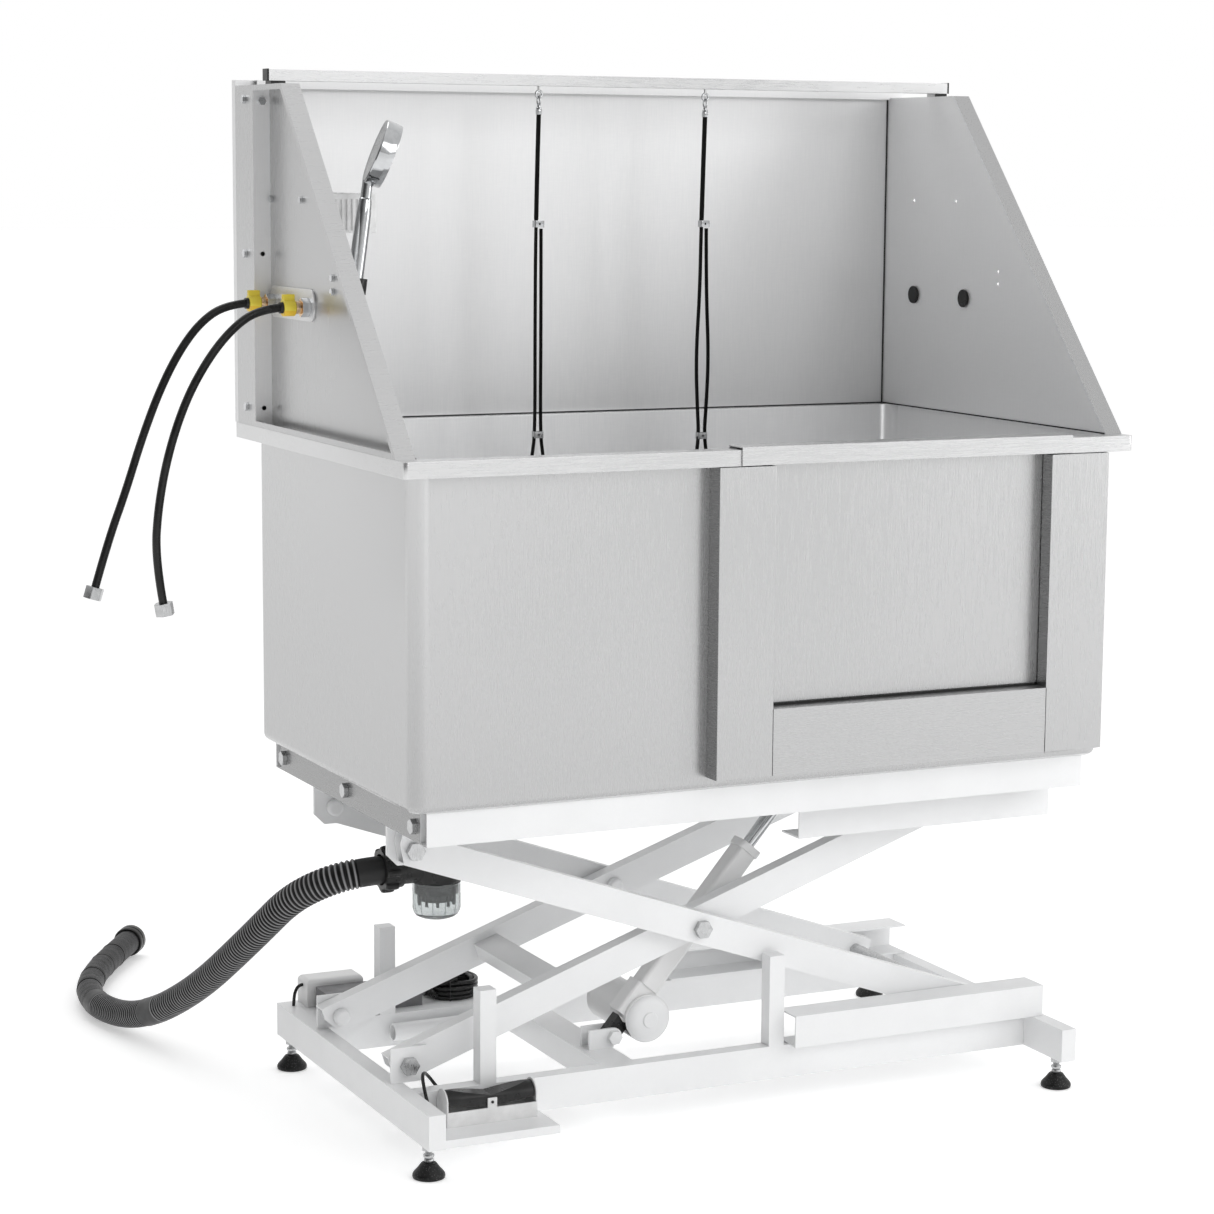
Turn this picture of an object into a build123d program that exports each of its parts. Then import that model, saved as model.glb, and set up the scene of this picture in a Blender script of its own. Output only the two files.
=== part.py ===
from build123d import *

import math
import os

os.makedirs("parts", exist_ok=True)

# Electric-lift pet bathtub. X runs along the tub, Y from front to back, Z up; the floor is Z = 0
# and the origin is the middle of the base. All sizes are in millimetres.

# ---- Driving dimensions ----
SHEET = 2.0

# Tub
TUB_X = 550.0
TUB_FRONT = -316.0
TUB_BACK = 308.0
TUB_BOTTOM = 515.0
TUB_CORNER = 24.0
TUB_EDGE = 12.0
RIM_X = 571.5
RIM_Y = 344.5
RIM_TOP = 994.0
RIM_HEIGHT = 23.0

# Walk-in door in the front wall
DOOR_LEFT = -21.0
DOOR_RIGHT = 431.0
SILL_TOP = 630.0
SILL_BOTTOM = 534.0
POST_WIDTH_LEFT = 88.0
POST_WIDTH_RIGHT = 98.0
POST_FRONT = -346.5
DOOR_LAP = 20.0
CAP_LEFT = -75.0
CAP_RIGHT = 465.0
CAP_FRONT = -347.2
CAP_BACK = -306.0
CAP_TOP = 998.0

# Splash panels and leash rail
PANEL_X = 543.5
PANEL_TOP = 1491.0
PANEL_BACK = 329.5
PANEL_TOP_FRONT = 127.0
PANEL_BOTTOM_FRONT = -315.0
PANEL_COLUMN_FRONT = 250.0
PANEL_LIP = 8.0
BACK_TOP = 1500.0
RAIL_Y = 196.0
RAIL_TOP = 1512.0
LOOP_X = 140.0
EYE_Z = 1484.0
EYE_R = 5.0
WIRE_R = 1.6
COLUMN_BOLT_X = -558.0
COLUMN_HOLES = (1247.0, 1021.0)
COLUMN_BOLTS = [(285.0, 1471.0), (285.0, 1247.0), (285.0, 1021.0)]
CADDY_BOLTS = [(240.0, 1327.0), (113.0, 1327.0)]
HOLDER_BOLTS = [(-14.0, 1221.0), (-14.0, 1202.0)]

# Water fittings on the side panels
INLET_Z = 1176.0
INLET_FRONT_Y = 82.0
INLET_BACK_Y = 233.0
PLUG_R = 11.0
SLEEVE_END = -592.0
CADDY = (-PANEL_X, -460.0, 42.0, 238.0, 1282.0, 1337.0)
RIB_PITCH = 8.0
SHOWER_PLACE = (-513.0, -10.0, 1210.0)
SHOWER_TILT = 8.0
SHOWER_TURN = 14.0

# Base frame
BASE_X = 525.0
BASE_Y = 312.0
TUBE = 25.0
WALL = 2.0
BASE_BOTTOM = 47.0
BASE_TOP = 97.0
RAIL_OUT = 207.0
POST_TOP = 233.0
POST_X = (-405.0, 56.0)
MEMBER_LEFT = -198.0
MEMBER_TOP = 92.0
CONDUIT_LEFT = -391.0
CONDUIT_R = 13.5
CONDUIT_GAP = 3.0

# Levelling feet
FOOT_X = 512.5
FOOT_Y = 280.0
STEM_R = 5.0
PAD_R = 23.0
PAD_TOP = 27.0

# Foot pedal on its tray
TRAY_RIGHT = -322.0
TRAY_FRONT = -297.0
TRAY_TOP = 54.5
PEDAL_LEFT = -472.0
PEDAL_RIGHT = -335.0
PEDAL_FRONT = -248.0
PEDAL_BACK = -210.0
PEDAL_X = (PEDAL_LEFT + PEDAL_RIGHT) / 2
PEDAL_RIM = 76.0
PEDAL_PIN_Z = 84.0
PEDAL_PIN_R = 2.0
PEDAL_CROWN_Z = 87.0

# Control gear on the shelf behind the back rail
SHELF_RIGHT = -212.0
CONTROL_BOX = (-480.0, -324.0, 209.0, 262.0, BASE_TOP, 130.0)
CONTROL_GLAND = (224.0, 113.0)
GLAND_END = -316.0
POWER_UNIT = (-492.0, -400.0, 266.0, 310.0, BASE_TOP, 140.0)
COIL_CENTRE = (-262.0, 254.0)
COIL_OUT = 45.5
COIL_IN = 31.5
COIL_HEIGHT = 28.0
PLUG = (-284.0, -240.0, 241.0, 267.0, BASE_TOP + COIL_HEIGHT, BASE_TOP + COIL_HEIGHT + 22)

# Scissor lift at its rest height
PIVOT_X = -491.0
LOW_Z = 121.0
HIGH_Z = 435.0
ROLLER_X = 409.0
ARM_HEIGHT = 46.0
INNER_ARM_Y = 122.0
OUTER_ARM_Y = 151.0
BOLT_R = 8.0
CAP_NUT_R = 12.5
BRACKET_Y = 145.0
AXLE_R = 10.0
AXLE_END = 219.0
ROLLER_R = 20.4
ROLLER_Y = 192.0
ROLLER_WIDTH = 24.0

# C-channels that guide the rollers
CHANNEL_LEFT = 88.0
CHANNEL_RIGHT = 519.0
CHANNEL_HEIGHT = 48.0
CHANNEL_OUT = 230.0
CHANNEL_IN = 178.0
CHANNEL_SHEET = 3.0

# Top frame
FRAME_X = 525.0
FRAME_Y = 305.0
FRAME_BOTTOM = 469.0
SUBRAIL_OUT = 216.0
CROSS_MEMBER_X = 200.0
FRAME_BOLTS = [(265.0, 490.0), (2.0, 490.0), (-261.0, 490.0)]

# Linear actuator
ACTUATOR_Y = -85.0
ACTUATOR_PIVOT = (-146.0, 108.0)
ACTUATOR_ANGLE = 49.5
ACTUATOR_LENGTH = 491.6
ACTUATOR_TUBE_END = 350.0
MOTOR_X = -93.0
MOTOR_Z = 130.5
MOTOR_R = 35.0
GEAR_FRONT = -105.0
GEAR_BACK = -65.0
PIN_R = 6.0
ROD_R = 10.0
ROD_LENGTH = 265.0

# Drain under the tub
DRAIN_X = -387.0
DRAIN_Z = 369.0
STRAINER_R = 22.0
TRAP_BOTTOM = 346.0
BOWL_BOTTOM = 291.0
OUTLET_END = -452.0

# Grooming loops
STRAP_TOP = 1455.0
SLIDER_Z = 1286.0
STOP_RING_LEFT_Z = 968.0
STOP_RING_RIGHT_Z = 958.0

# Radial clearance of a shaft in its hole
FIT = 0.05

# ---- Routes of the free cords, with their diameters ----
LEAD_D = 7.0
LEAD_TAIL = [(GLAND_END, 224, 113), (-298, 223, 112), (-280, 219, 111)]

SMALL_CABLE_D = 5.0
PEDAL_CABLE = [(PEDAL_LEFT, -229, 66), (-484, -229, 67), (-491, -225, 83), (-492, -213, 103),
               (-488, -195, 117), (-478, -178, 117), (-466, -169, 105), (-455, -168, 90),
               (-446, -173, 80), (-441, TUBE - RAIL_OUT, 76)]
POWER_CABLE = [(POWER_UNIT[0], 286, 129), (-499, 286, 128), (-504.5, 286, 119), (-506.5, 286, 108),
               (-507, 286, BASE_TOP)]

DRAIN_HOSE_D = 43.0
DRAIN_HOSE = [(OUTLET_END, 0, DRAIN_Z), (-502, 3, 368), (-550, 26, 353), (-587, 72, 320), (-607, 140, 264),
              (-622, 222, 206), (-635, 308, 149), (-650, 392, 100), (-669, 476, 58), (-692, 560, 31),
              (-711, 655, 24.5), (-700, 760, 23.8), (-656, 862, 23.8), (-601, 952, 25.6), (-540, 1040, 28.6)]

SUPPLY_D = 12.0
SUPPLY_FRONT = [(SLEEVE_END, 82, INLET_Z), (-624, 82, 1173), (-660, 81, 1150), (-696, 80, 1110),
                (-731, 79, 1052), (-758, 79, 978), (-774, 80, 900), (-779, 81, 828), (-768, 82, 764)]
SUPPLY_BACK = [(SLEEVE_END, 233, INLET_Z), (-624, 233, 1173), (-660, 234, 1149), (-692, 235, 1108),
               (-722, 235, 1052), (-750, 234, 983), (-776, 233, 906), (-803, 233, 836), (-823, 233, 770)]

STRAP_D = 8.0
LOOP_LEFT = [(-140, RAIL_Y, STRAP_TOP), (-144.4, RAIL_Y, 1290), (-144.8, RAIL_Y, 1130), (-144.4, RAIL_Y, 975),
             (-149, RAIL_Y, 942), (-152, RAIL_Y, 916), (-147, RAIL_Y, 896), (-133, RAIL_Y, 896),
             (-128, RAIL_Y, 916), (-131, RAIL_Y, 942), (-135.6, RAIL_Y, 975), (-135, RAIL_Y, 1130),
             (-135.6, RAIL_Y, 1284)]
LOOP_RIGHT = [(140, RAIL_Y, STRAP_TOP), (135.6, RAIL_Y, 1290), (134.6, RAIL_Y, 1190), (129, RAIL_Y, 1088),
              (132, RAIL_Y, 1012), (135.4, RAIL_Y, 965), (130.5, RAIL_Y, 925), (134, RAIL_Y, 900),
              (147, RAIL_Y, 900), (150.5, RAIL_Y, 925), (144.6, RAIL_Y, 965), (148, RAIL_Y, 1012),
              (151, RAIL_Y, 1088), (145.4, RAIL_Y, 1190), (144.4, RAIL_Y, 1284)]

ARM_LENGTH = math.hypot(ROLLER_X - PIVOT_X, HIGH_Z - LOW_Z)
ARM_ANGLE = math.degrees(math.atan2(HIGH_Z - LOW_Z, ROLLER_X - PIVOT_X))


# ---- Plain shapes ----
def block(x0, x1, y0, y1, z0, z1):
    """A box between two opposite corners, given in any order."""
    middle = ((x0 + x1) / 2, (y0 + y1) / 2, (z0 + z1) / 2)
    return Pos(*middle) * Box(abs(x1 - x0), abs(y1 - y0), abs(z1 - z0))


def rod_x(y, z, radius, x0, x1):
    return Pos((x0 + x1) / 2, y, z) * Rot(0, 90, 0) * Cylinder(radius, abs(x1 - x0))


def rod_y(x, z, radius, y0, y1):
    return Pos(x, (y0 + y1) / 2, z) * Rot(90, 0, 0) * Cylinder(radius, abs(y1 - y0))


def rod_z(x, y, radius, z0, z1):
    return Pos(x, y, (z0 + z1) / 2) * Cylinder(radius, abs(z1 - z0))


def hex_x(y, z, across, x0, x1):
    prism = extrude(RegularPolygon(across / 2, 6, major_radius=False), x1 - x0)
    return Pos(x0, y, z) * Rot(0, 90, 0) * prism


def hex_y(x, z, across, y0, y1):
    prism = extrude(RegularPolygon(across / 2, 6, major_radius=False), y1 - y0)
    return Pos(x, y0, z) * Rot(-90, 0, 0) * prism


def hex_z(x, y, across, z0, z1):
    return Pos(x, y, z0) * extrude(RegularPolygon(across / 2, 6, major_radius=False), z1 - z0)


def prism_y(points, y0, y1):
    """An outline in X and Z, given depth from y0 up to y1."""
    face = make_face(Polyline(*[(x, y0, z) for x, z in points], close=True))
    return extrude(face, amount=y1 - y0, dir=(0, 1, 0))


def tube_along(axis, x0, x1, y0, y1, z0, z1, wall=WALL):
    """A rectangular tube, open at both ends, whose length runs along the axis."""
    inset = [wall, wall, wall]
    inset["XYZ".index(axis)] = -1.0
    bore = block(x0 + inset[0], x1 - inset[0], y0 + inset[1], y1 - inset[1], z0 + inset[2], z1 - inset[2])
    return block(x0, x1, y0, y1, z0, z1) - bore


def mirrored_in_y(shape):
    return mirror(shape, about=Plane.XZ)


def save(shapes, node):
    """Writes one node: a single solid, or several separate solids as one group."""
    shapes = shapes if isinstance(shapes, list) else [shapes]
    solids = [solid for shape in shapes for solid in shape.solids()]
    export_step(solids[0] if len(solids) == 1 else Compound(children=solids), f"parts/{node}.step")


def cord_tube(name, points, diameter):
    """A free cord: straight runs joined by the largest tangent arcs that they allow."""
    corners = [Vector(*point) for point in points]
    radii = []
    for before, corner, after in zip(corners, corners[1:], corners[2:]):
        run_in = corner - before
        run_out = after - corner
        half_turn = math.radians(run_in.get_angle(run_out)) / 2
        radii.append(0.45 * min(run_in.length, run_out.length) / math.tan(half_turn))
    path = FilletPolyline(*corners, radius=radii)
    section = Plane(origin=path @ 0, z_dir=path % 0) * Circle(diameter / 2)
    tube = sweep(section, path)
    expected = math.pi * diameter**2 / 4 * path.length
    print(name, "length", round(path.length), "volume ratio", round(tube.volume / expected, 4))
    print("  radii", [round(radius) for radius in radii])
    return tube


# ---- Base ----
def feet_places():
    """Each foot's name and its place on the floor."""
    return [(f"foot_{row}_{side}", sx * FOOT_X, sy * FOOT_Y)
            for row, sy in (("front", -1), ("back", 1)) for side, sx in (("left", -1), ("right", 1))]


def base_beams():
    """The two end beams, closed at their ends and drilled underneath for the stems of the feet."""
    beams = []
    for x0 in (-BASE_X, BASE_X - TUBE):
        beam = block(x0, x0 + TUBE, -BASE_Y, BASE_Y, BASE_BOTTOM, BASE_TOP)
        beam -= block(x0 + WALL, x0 + TUBE - WALL, WALL - BASE_Y, BASE_Y - WALL, BASE_BOTTOM + WALL, BASE_TOP - WALL)
        for name, x, y in feet_places():
            if x0 < x < x0 + TUBE:
                beam -= rod_z(x, y, STEM_R + 0.6, BASE_BOTTOM - 1, BASE_BOTTOM + 5)
        beams.append(beam)
    return beams


def stop_posts():
    """Four short posts on the side rails, just under the fully lowered top frame."""
    posts = []
    for x in POST_X:
        outer = block(x, x + TUBE, RAIL_OUT - TUBE, RAIL_OUT, BASE_TOP, POST_TOP)
        inner = block(x + WALL, x + TUBE - WALL, RAIL_OUT - TUBE + WALL, RAIL_OUT - WALL,
                      BASE_TOP - 1, POST_TOP - WALL)
        posts += [outer - inner, mirrored_in_y(outer - inner)]
    return posts


def cable_conduit():
    """A round pipe beside the back rail, held off it by two lugs."""
    wall = RAIL_OUT - TUBE
    centre = (wall - CONDUIT_GAP - CONDUIT_R, 73.0)
    outer = rod_x(*centre, CONDUIT_R, CONDUIT_LEFT, MEMBER_LEFT)
    pipe = outer - rod_x(*centre, CONDUIT_R - WALL, CONDUIT_LEFT - 1, MEMBER_LEFT + 1)
    lugs = [block(x, x + 12, wall - 6, wall, 68, 78) - outer for x in (CONDUIT_LEFT + 20, MEMBER_LEFT - 32)]
    return [pipe, *lugs]


def pedal_tray():
    """The shelf in front of the front rail, with its front edge folded down."""
    shelf = block(TUBE - BASE_X, TRAY_RIGHT, TRAY_FRONT, -RAIL_OUT, TRAY_TOP - SHEET, TRAY_TOP)
    lip = block(TUBE - BASE_X, TRAY_RIGHT, TRAY_FRONT, TRAY_FRONT + SHEET, TRAY_TOP - 12, TRAY_TOP - SHEET)
    return shelf + lip


def control_shelf():
    """The shelf behind the back rail that carries the control gear."""
    return block(TUBE - BASE_X, SHELF_RIGHT, RAIL_OUT, BASE_Y, BASE_TOP - SHEET, BASE_TOP)


def actuator_base_bracket():
    """Two ears on the cross member that hold the actuator's lower pin."""
    px, pz = ACTUATOR_PIVOT
    ears = []
    for side in (-1, 1):
        y0, y1 = sorted((ACTUATOR_Y + side * 11, ACTUATOR_Y + side * 16))
        ear = block(px - 40, px, y0, y1, MEMBER_TOP, pz + 13) + rod_y(px, pz, 13, y0, y1)
        ears.append(ear - rod_y(px, pz, PIN_R + FIT, y0 - 1, y1 + 1))
    return ears


def base_frame():
    rail = tube_along("X", TUBE - BASE_X, BASE_X - TUBE, RAIL_OUT - TUBE, RAIL_OUT, BASE_BOTTOM, BASE_TOP)
    member = tube_along("Y", MEMBER_LEFT, MEMBER_LEFT + 50, TUBE - RAIL_OUT, RAIL_OUT - TUBE,
                        MEMBER_TOP - 40, MEMBER_TOP)
    shapes = base_beams() + [rail, mirrored_in_y(rail), member, pedal_tray(), control_shelf()]
    return shapes + stop_posts() + cable_conduit() + actuator_base_bracket() + lower_pivot_brackets()


def channel(z0):
    """A C-channel along X, open toward the middle of the lift, on the back side."""
    outer = block(CHANNEL_LEFT, CHANNEL_RIGHT, CHANNEL_IN, CHANNEL_OUT, z0, z0 + CHANNEL_HEIGHT)
    inner = block(CHANNEL_LEFT - 1, CHANNEL_RIGHT + 1, CHANNEL_IN - 1, CHANNEL_OUT - CHANNEL_SHEET,
                  z0 + CHANNEL_SHEET, z0 + CHANNEL_HEIGHT - CHANNEL_SHEET)
    return outer - inner


def both_sides(shape):
    return [mirrored_in_y(shape), shape]


def lower_pivot_brackets():
    """A plate outside each inner arm, standing on the left beam."""
    outline = [(-518, BASE_TOP), (-518, 148), (-464, 148), (-464, 106), (-473, BASE_TOP)]
    y0, y1 = INNER_ARM_Y + TUBE + 2, INNER_ARM_Y + TUBE + 6
    return both_sides(prism_y(outline, y0, y1) - rod_y(PIVOT_X, LOW_Z, BOLT_R + FIT, y0 - 1, y1 + 1))


def cross_bolt(x, z, inner_y, outer_y):
    """A bolt along Y on the back side: hexagon head outboard, domed cap nut inboard."""
    shank = rod_y(x, z, BOLT_R, inner_y - 6, outer_y)
    bolt = shank + hex_y(x, z, 24, outer_y, outer_y + 9)
    cap = rod_y(x, z, CAP_NUT_R, inner_y - 11, inner_y)
    cap = fillet(cap.edges().group_by(Axis.Y)[0], 5)
    return [bolt, cap - shank]


def base_pivot_bolts():
    shapes = []
    for shape in cross_bolt(PIVOT_X, LOW_Z, INNER_ARM_Y - 0.5, INNER_ARM_Y + TUBE + 6):
        shapes += both_sides(shape)
    px, pz = ACTUATOR_PIVOT
    pin = rod_y(px, pz, PIN_R, ACTUATOR_Y - 16, ACTUATOR_Y + 26)
    pin += hex_y(px, pz, 19, ACTUATOR_Y - 24, ACTUATOR_Y - 16)
    nut = hex_y(px, pz, 19, ACTUATOR_Y + 16, ACTUATOR_Y + 24) - pin
    return shapes + [pin, nut]


# ---- Foot pedal ----
def pedal_base():
    """A shallow open tray with round-topped ends and two ears for the rocker's pin."""
    x0, x1, y0, y1 = PEDAL_LEFT, PEDAL_RIGHT, PEDAL_FRONT, PEDAL_BACK
    tray = block(x0, x1, y0, y1, TRAY_TOP, PEDAL_RIM)
    tray -= block(x0 + SHEET, x1 - SHEET, y0 + SHEET, y1 - SHEET, TRAY_TOP + SHEET, PEDAL_RIM + 1)
    middle_y = (y0 + y1) / 2
    half = (y1 - y0) / 2
    for x in (x0, x1 - SHEET):
        tray += block(x, x + SHEET, y0, y1, PEDAL_RIM - 1, PEDAL_CROWN_Z)
        dome = rod_x(middle_y, PEDAL_CROWN_Z, half, x, x + SHEET)
        tray += dome & block(x, x + SHEET, y0, y1, PEDAL_CROWN_Z, PEDAL_CROWN_Z + half)
    for y in (y0, y1 - SHEET):
        tray += block(PEDAL_X - 7, PEDAL_X + 7, y, y + SHEET, PEDAL_RIM - 1, PEDAL_PIN_Z + 6)
    return tray - rod_y(PEDAL_X, PEDAL_PIN_Z, PEDAL_PIN_R + FIT, y0 - 1, y1 + 1)


def pedal_rocker():
    """A saddle that dips in the middle, on a pin across the base."""
    x0, x1 = PEDAL_LEFT + SHEET + 1, PEDAL_RIGHT - SHEET - 1
    y0, y1 = PEDAL_FRONT + SHEET + 0.5, PEDAL_BACK - SHEET - 0.5
    bottom, top = PEDAL_RIM + 8, PEDAL_CROWN_Z + 18
    saddle = prism_y([(x0, bottom), (x0, top), (PEDAL_X, top - 12), (x1, top), (x1, bottom),
                      (PEDAL_X, bottom - 6)], y0, y1)
    round_top = rod_x((y0 + y1) / 2, PEDAL_CROWN_Z, (y1 - y0) / 2, x0, x1)
    saddle &= round_top + block(x0, x1, y0, y1, PEDAL_RIM - 6, PEDAL_CROWN_Z)
    return saddle + rod_y(PEDAL_X, PEDAL_PIN_Z, PEDAL_PIN_R, PEDAL_FRONT - 1, PEDAL_BACK + 1)


# ---- Levelling feet ----
def levelling_foot(x, y):
    """A rounded rubber pad with a threaded stem that goes up into the beam."""
    stem = rod_z(0, 0, STEM_R, 18, 88) + hex_z(0, 0, 15, PAD_TOP, PAD_TOP + 6)
    foot, shoulder, neck = (PAD_R, 0, 5), (PAD_R - 4, 0, 17), (10, 0, PAD_TOP)
    outline = Polyline((10, 0, PAD_TOP), (0, 0, PAD_TOP), (0, 0, 0), (PAD_R, 0, 0), foot)
    outline += ThreePointArc(foot, shoulder, neck)
    pad = revolve(make_face(outline), Axis.Z, 360)
    return [Pos(x, y, 0) * (pad - stem), Pos(x, y, 0) * stem]


def foot_lock_nuts():
    return [hex_z(x, y, 17, BASE_BOTTOM - 8, BASE_BOTTOM) - rod_z(x, y, STEM_R + FIT, 30, 60)
            for name, x, y in feet_places()]


# ---- Control gear and its cables ----
def control_box():
    x0, x1, y0, y1, z0, z1 = CONTROL_BOX
    box = block(x0, x1, y0, y1, z0, z1)
    box = fillet(box.edges().filter_by(Axis.Z), 3)
    return box + rod_x(*CONTROL_GLAND, 5, x1, GLAND_END)


def power_unit():
    x0, x1, y0, y1, z0, z1 = POWER_UNIT
    box = block(x0, x1, y0, y1, z0, z1)
    return fillet(box.edges().group_by(Axis.Z)[-1], 8)


def mains_lead_coil():
    """The outer shape of the coiled lead, lying on the shelf."""
    x, y = COIL_CENTRE
    coil = rod_z(x, y, COIL_OUT, BASE_TOP, BASE_TOP + COIL_HEIGHT)
    return coil - rod_z(x, y, COIL_IN, BASE_TOP - 1, BASE_TOP + COIL_HEIGHT + 1)


def mains_lead():
    """The short stretch of lead from the control box to the coil."""
    return cord_tube("mains_lead", LEAD_TAIL, LEAD_D) - mains_lead_coil()


def mains_plug():
    x0, x1, y0, y1, z0, z1 = PLUG
    body = block(x0, x1, y0, y1, z0, z1)
    body = fillet(body.edges().filter_by(Axis.X), 4)
    pins = [rod_x(y, (z0 + z1) / 2, 2.4, x0 - 19, x0) for y in ((y0 + y1) / 2 - 9.5, (y0 + y1) / 2 + 9.5)]
    for pin in pins:
        body += pin
    return body


# ---- Scissor arms ----
def arm(end_hole, y0):
    """One arm along X from its pivot: a rectangular tube with cut corners and welded sleeves."""
    half = ARM_HEIGHT / 2
    outline = [(-24, half), (-24, 5), (-8, -half), (ARM_LENGTH + 8, -half), (ARM_LENGTH + 24, -5),
               (ARM_LENGTH + 24, half)]
    tube = prism_y(outline, y0, y0 + TUBE)
    tube -= block(-60, ARM_LENGTH + 60, y0 + WALL, y0 + TUBE - WALL, WALL - half, half - WALL)
    for u, radius in ((0, BOLT_R + FIT), (ARM_LENGTH / 2, BOLT_R + FIT), (ARM_LENGTH, end_hole)):
        tube += rod_y(u, 0, radius + 4, y0, y0 + TUBE)
        tube -= rod_y(u, 0, radius, y0 - 1, y0 + TUBE + 1)
    return tube


def tilted(shape, x, z, angle):
    """Places a shape drawn along X at a point, its far end raised by the angle."""
    return Pos(x, 0, z) * Rot(0, -angle, 0) * shape


def inner_arms():
    tie = tube_along("Y", 232, 272, -INNER_ARM_Y, INNER_ARM_Y, -12, 12)
    shapes = both_sides(arm(AXLE_R, INNER_ARM_Y)) + [tie]
    return [tilted(shape, PIVOT_X, LOW_Z, ARM_ANGLE) for shape in shapes]


def outer_arms():
    return [tilted(shape, PIVOT_X, HIGH_Z, -ARM_ANGLE) for shape in both_sides(arm(AXLE_R, OUTER_ARM_Y))]


def outer_arm_bolts():
    """The bolts at the scissor's centre and at the top left pivots."""
    middle = ((PIVOT_X + ROLLER_X) / 2, (LOW_Z + HIGH_Z) / 2)
    pairs = cross_bolt(*middle, INNER_ARM_Y - 0.5, OUTER_ARM_Y + TUBE)
    pairs += cross_bolt(PIVOT_X, HIGH_Z, BRACKET_Y - 0.5, OUTER_ARM_Y + TUBE)
    return [shape for one in pairs for shape in both_sides(one)]


def roller_axle(z, arm_outside):
    """An axle across the lift with a spacer and a retaining collar beside each roller."""
    axle = rod_y(ROLLER_X, z, AXLE_R, -AXLE_END, AXLE_END)
    for side in (-1, 1):
        axle += rod_y(ROLLER_X, z, AXLE_R + 4, side * arm_outside, side * (ROLLER_Y - 0.5))
        axle += rod_y(ROLLER_X, z, AXLE_R + 3, side * (ROLLER_Y + ROLLER_WIDTH + 0.5), side * AXLE_END)
    return axle


def rollers(z):
    wheel = rod_y(ROLLER_X, z, ROLLER_R, ROLLER_Y, ROLLER_Y + ROLLER_WIDTH)
    wheel -= rod_y(ROLLER_X, z, AXLE_R + FIT, ROLLER_Y - 1, ROLLER_Y + ROLLER_WIDTH + 1)
    return both_sides(wheel)


# ---- Linear actuator, drawn along X from its lower pin ----
def on_actuator(shape):
    px, pz = ACTUATOR_PIVOT
    return Pos(px, ACTUATOR_Y, pz) * Rot(0, -ACTUATOR_ANGLE, 0) * shape


def actuator_motor():
    """The motor behind the gears and the round cover in front of them."""
    motor = rod_y(MOTOR_X, MOTOR_Z, MOTOR_R, GEAR_BACK, GEAR_BACK + 103)
    cover = rod_y(MOTOR_X, MOTOR_Z, MOTOR_R, GEAR_FRONT - 10, GEAR_FRONT)
    cover = fillet(cover.edges().group_by(Axis.Y)[0], 7)
    disc = rod_y(MOTOR_X, MOTOR_Z, 12, GEAR_FRONT - 11.5, GEAR_FRONT - 10)
    return [motor, cover + disc]


def gear_housing():
    """Round gear case between motor and cover, with the tongue that takes the lower pin."""
    half = (GEAR_BACK - GEAR_FRONT) / 2
    case = block(34, 88, 6 - half, half, -20, 20)
    shape = on_actuator(fillet(case.edges().filter_by(Axis.X), 5))
    shape += rod_y(MOTOR_X, MOTOR_Z, MOTOR_R + 1, GEAR_FRONT, GEAR_BACK)
    shape -= rod_y(*ACTUATOR_PIVOT, 19, GEAR_FRONT - 1, GEAR_BACK + 1)
    tongue = block(0, 30, -10, 10, -12, 12) + rod_y(0, 0, 12, -10, 10)
    shape += on_actuator(tongue)
    return shape - rod_y(*ACTUATOR_PIVOT, PIN_R + FIT, GEAR_FRONT - 1, GEAR_BACK + 1)


def actuator_tube():
    """Square tube with rounded edges and the end cap that guides the rod."""
    tube = block(88, ACTUATOR_TUBE_END - 12, -17, 17, -17, 17)
    tube = fillet(tube.edges().filter_by(Axis.X), 6) - rod_x(0, 0, ROD_R + 2, 80, ACTUATOR_TUBE_END)
    cap = block(ACTUATOR_TUBE_END - 12, ACTUATOR_TUBE_END, -19, 19, -19, 19)
    cap = fillet(cap.edges().filter_by(Axis.X), 7)
    cap -= rod_x(0, 0, ROD_R + FIT, ACTUATOR_TUBE_END - 20, ACTUATOR_TUBE_END + 1)
    return [on_actuator(tube), on_actuator(cap)]


def actuator_rod():
    """Polished rod with a flat eye and its pin, which turns between the top bracket's cheeks."""
    eye = rod_y(ACTUATOR_LENGTH, 0, 11, -9, 9)
    rod = rod_x(0, 0, ROD_R, ACTUATOR_LENGTH - ROD_LENGTH, ACTUATOR_LENGTH - 6)
    pin = rod_y(ACTUATOR_LENGTH, 0, PIN_R, -20, 20)
    return on_actuator(eye + rod + pin)


# ---- Top frame ----
def top_frame():
    z0, z1 = FRAME_BOTTOM, TUB_BOTTOM
    front = tube_along("X", -FRAME_X, FRAME_X, -FRAME_Y, TUBE - FRAME_Y, z0, z1)
    left = tube_along("Y", -FRAME_X, TUBE - FRAME_X, TUBE - FRAME_Y, FRAME_Y - TUBE, z0, z1)
    right = tube_along("Y", FRAME_X - TUBE, FRAME_X, TUBE - FRAME_Y, FRAME_Y - TUBE, z0, z1)
    subrail = tube_along("X", TUBE - FRAME_X, FRAME_X - TUBE, SUBRAIL_OUT - TUBE, SUBRAIL_OUT,
                         HIGH_Z + CHANNEL_HEIGHT / 2, z1)
    shapes = [*both_sides(mirrored_in_y(front)), *both_sides(subrail)]
    for x in (-100.0, CROSS_MEMBER_X):
        shapes.append(tube_along("Y", x, x + TUBE, TUBE - SUBRAIL_OUT, SUBRAIL_OUT - TUBE, z0, z1))
    for y, z in FRAME_BOLTS:
        left -= rod_x(y, z, 5, -FRAME_X - 1, 1 - FRAME_X + SHEET)
        right -= rod_x(y, z, 5, FRAME_X - 1 - SHEET, FRAME_X + 1)
    return shapes + [left, right] + upper_pivot_brackets() + actuator_top_bracket()


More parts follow.
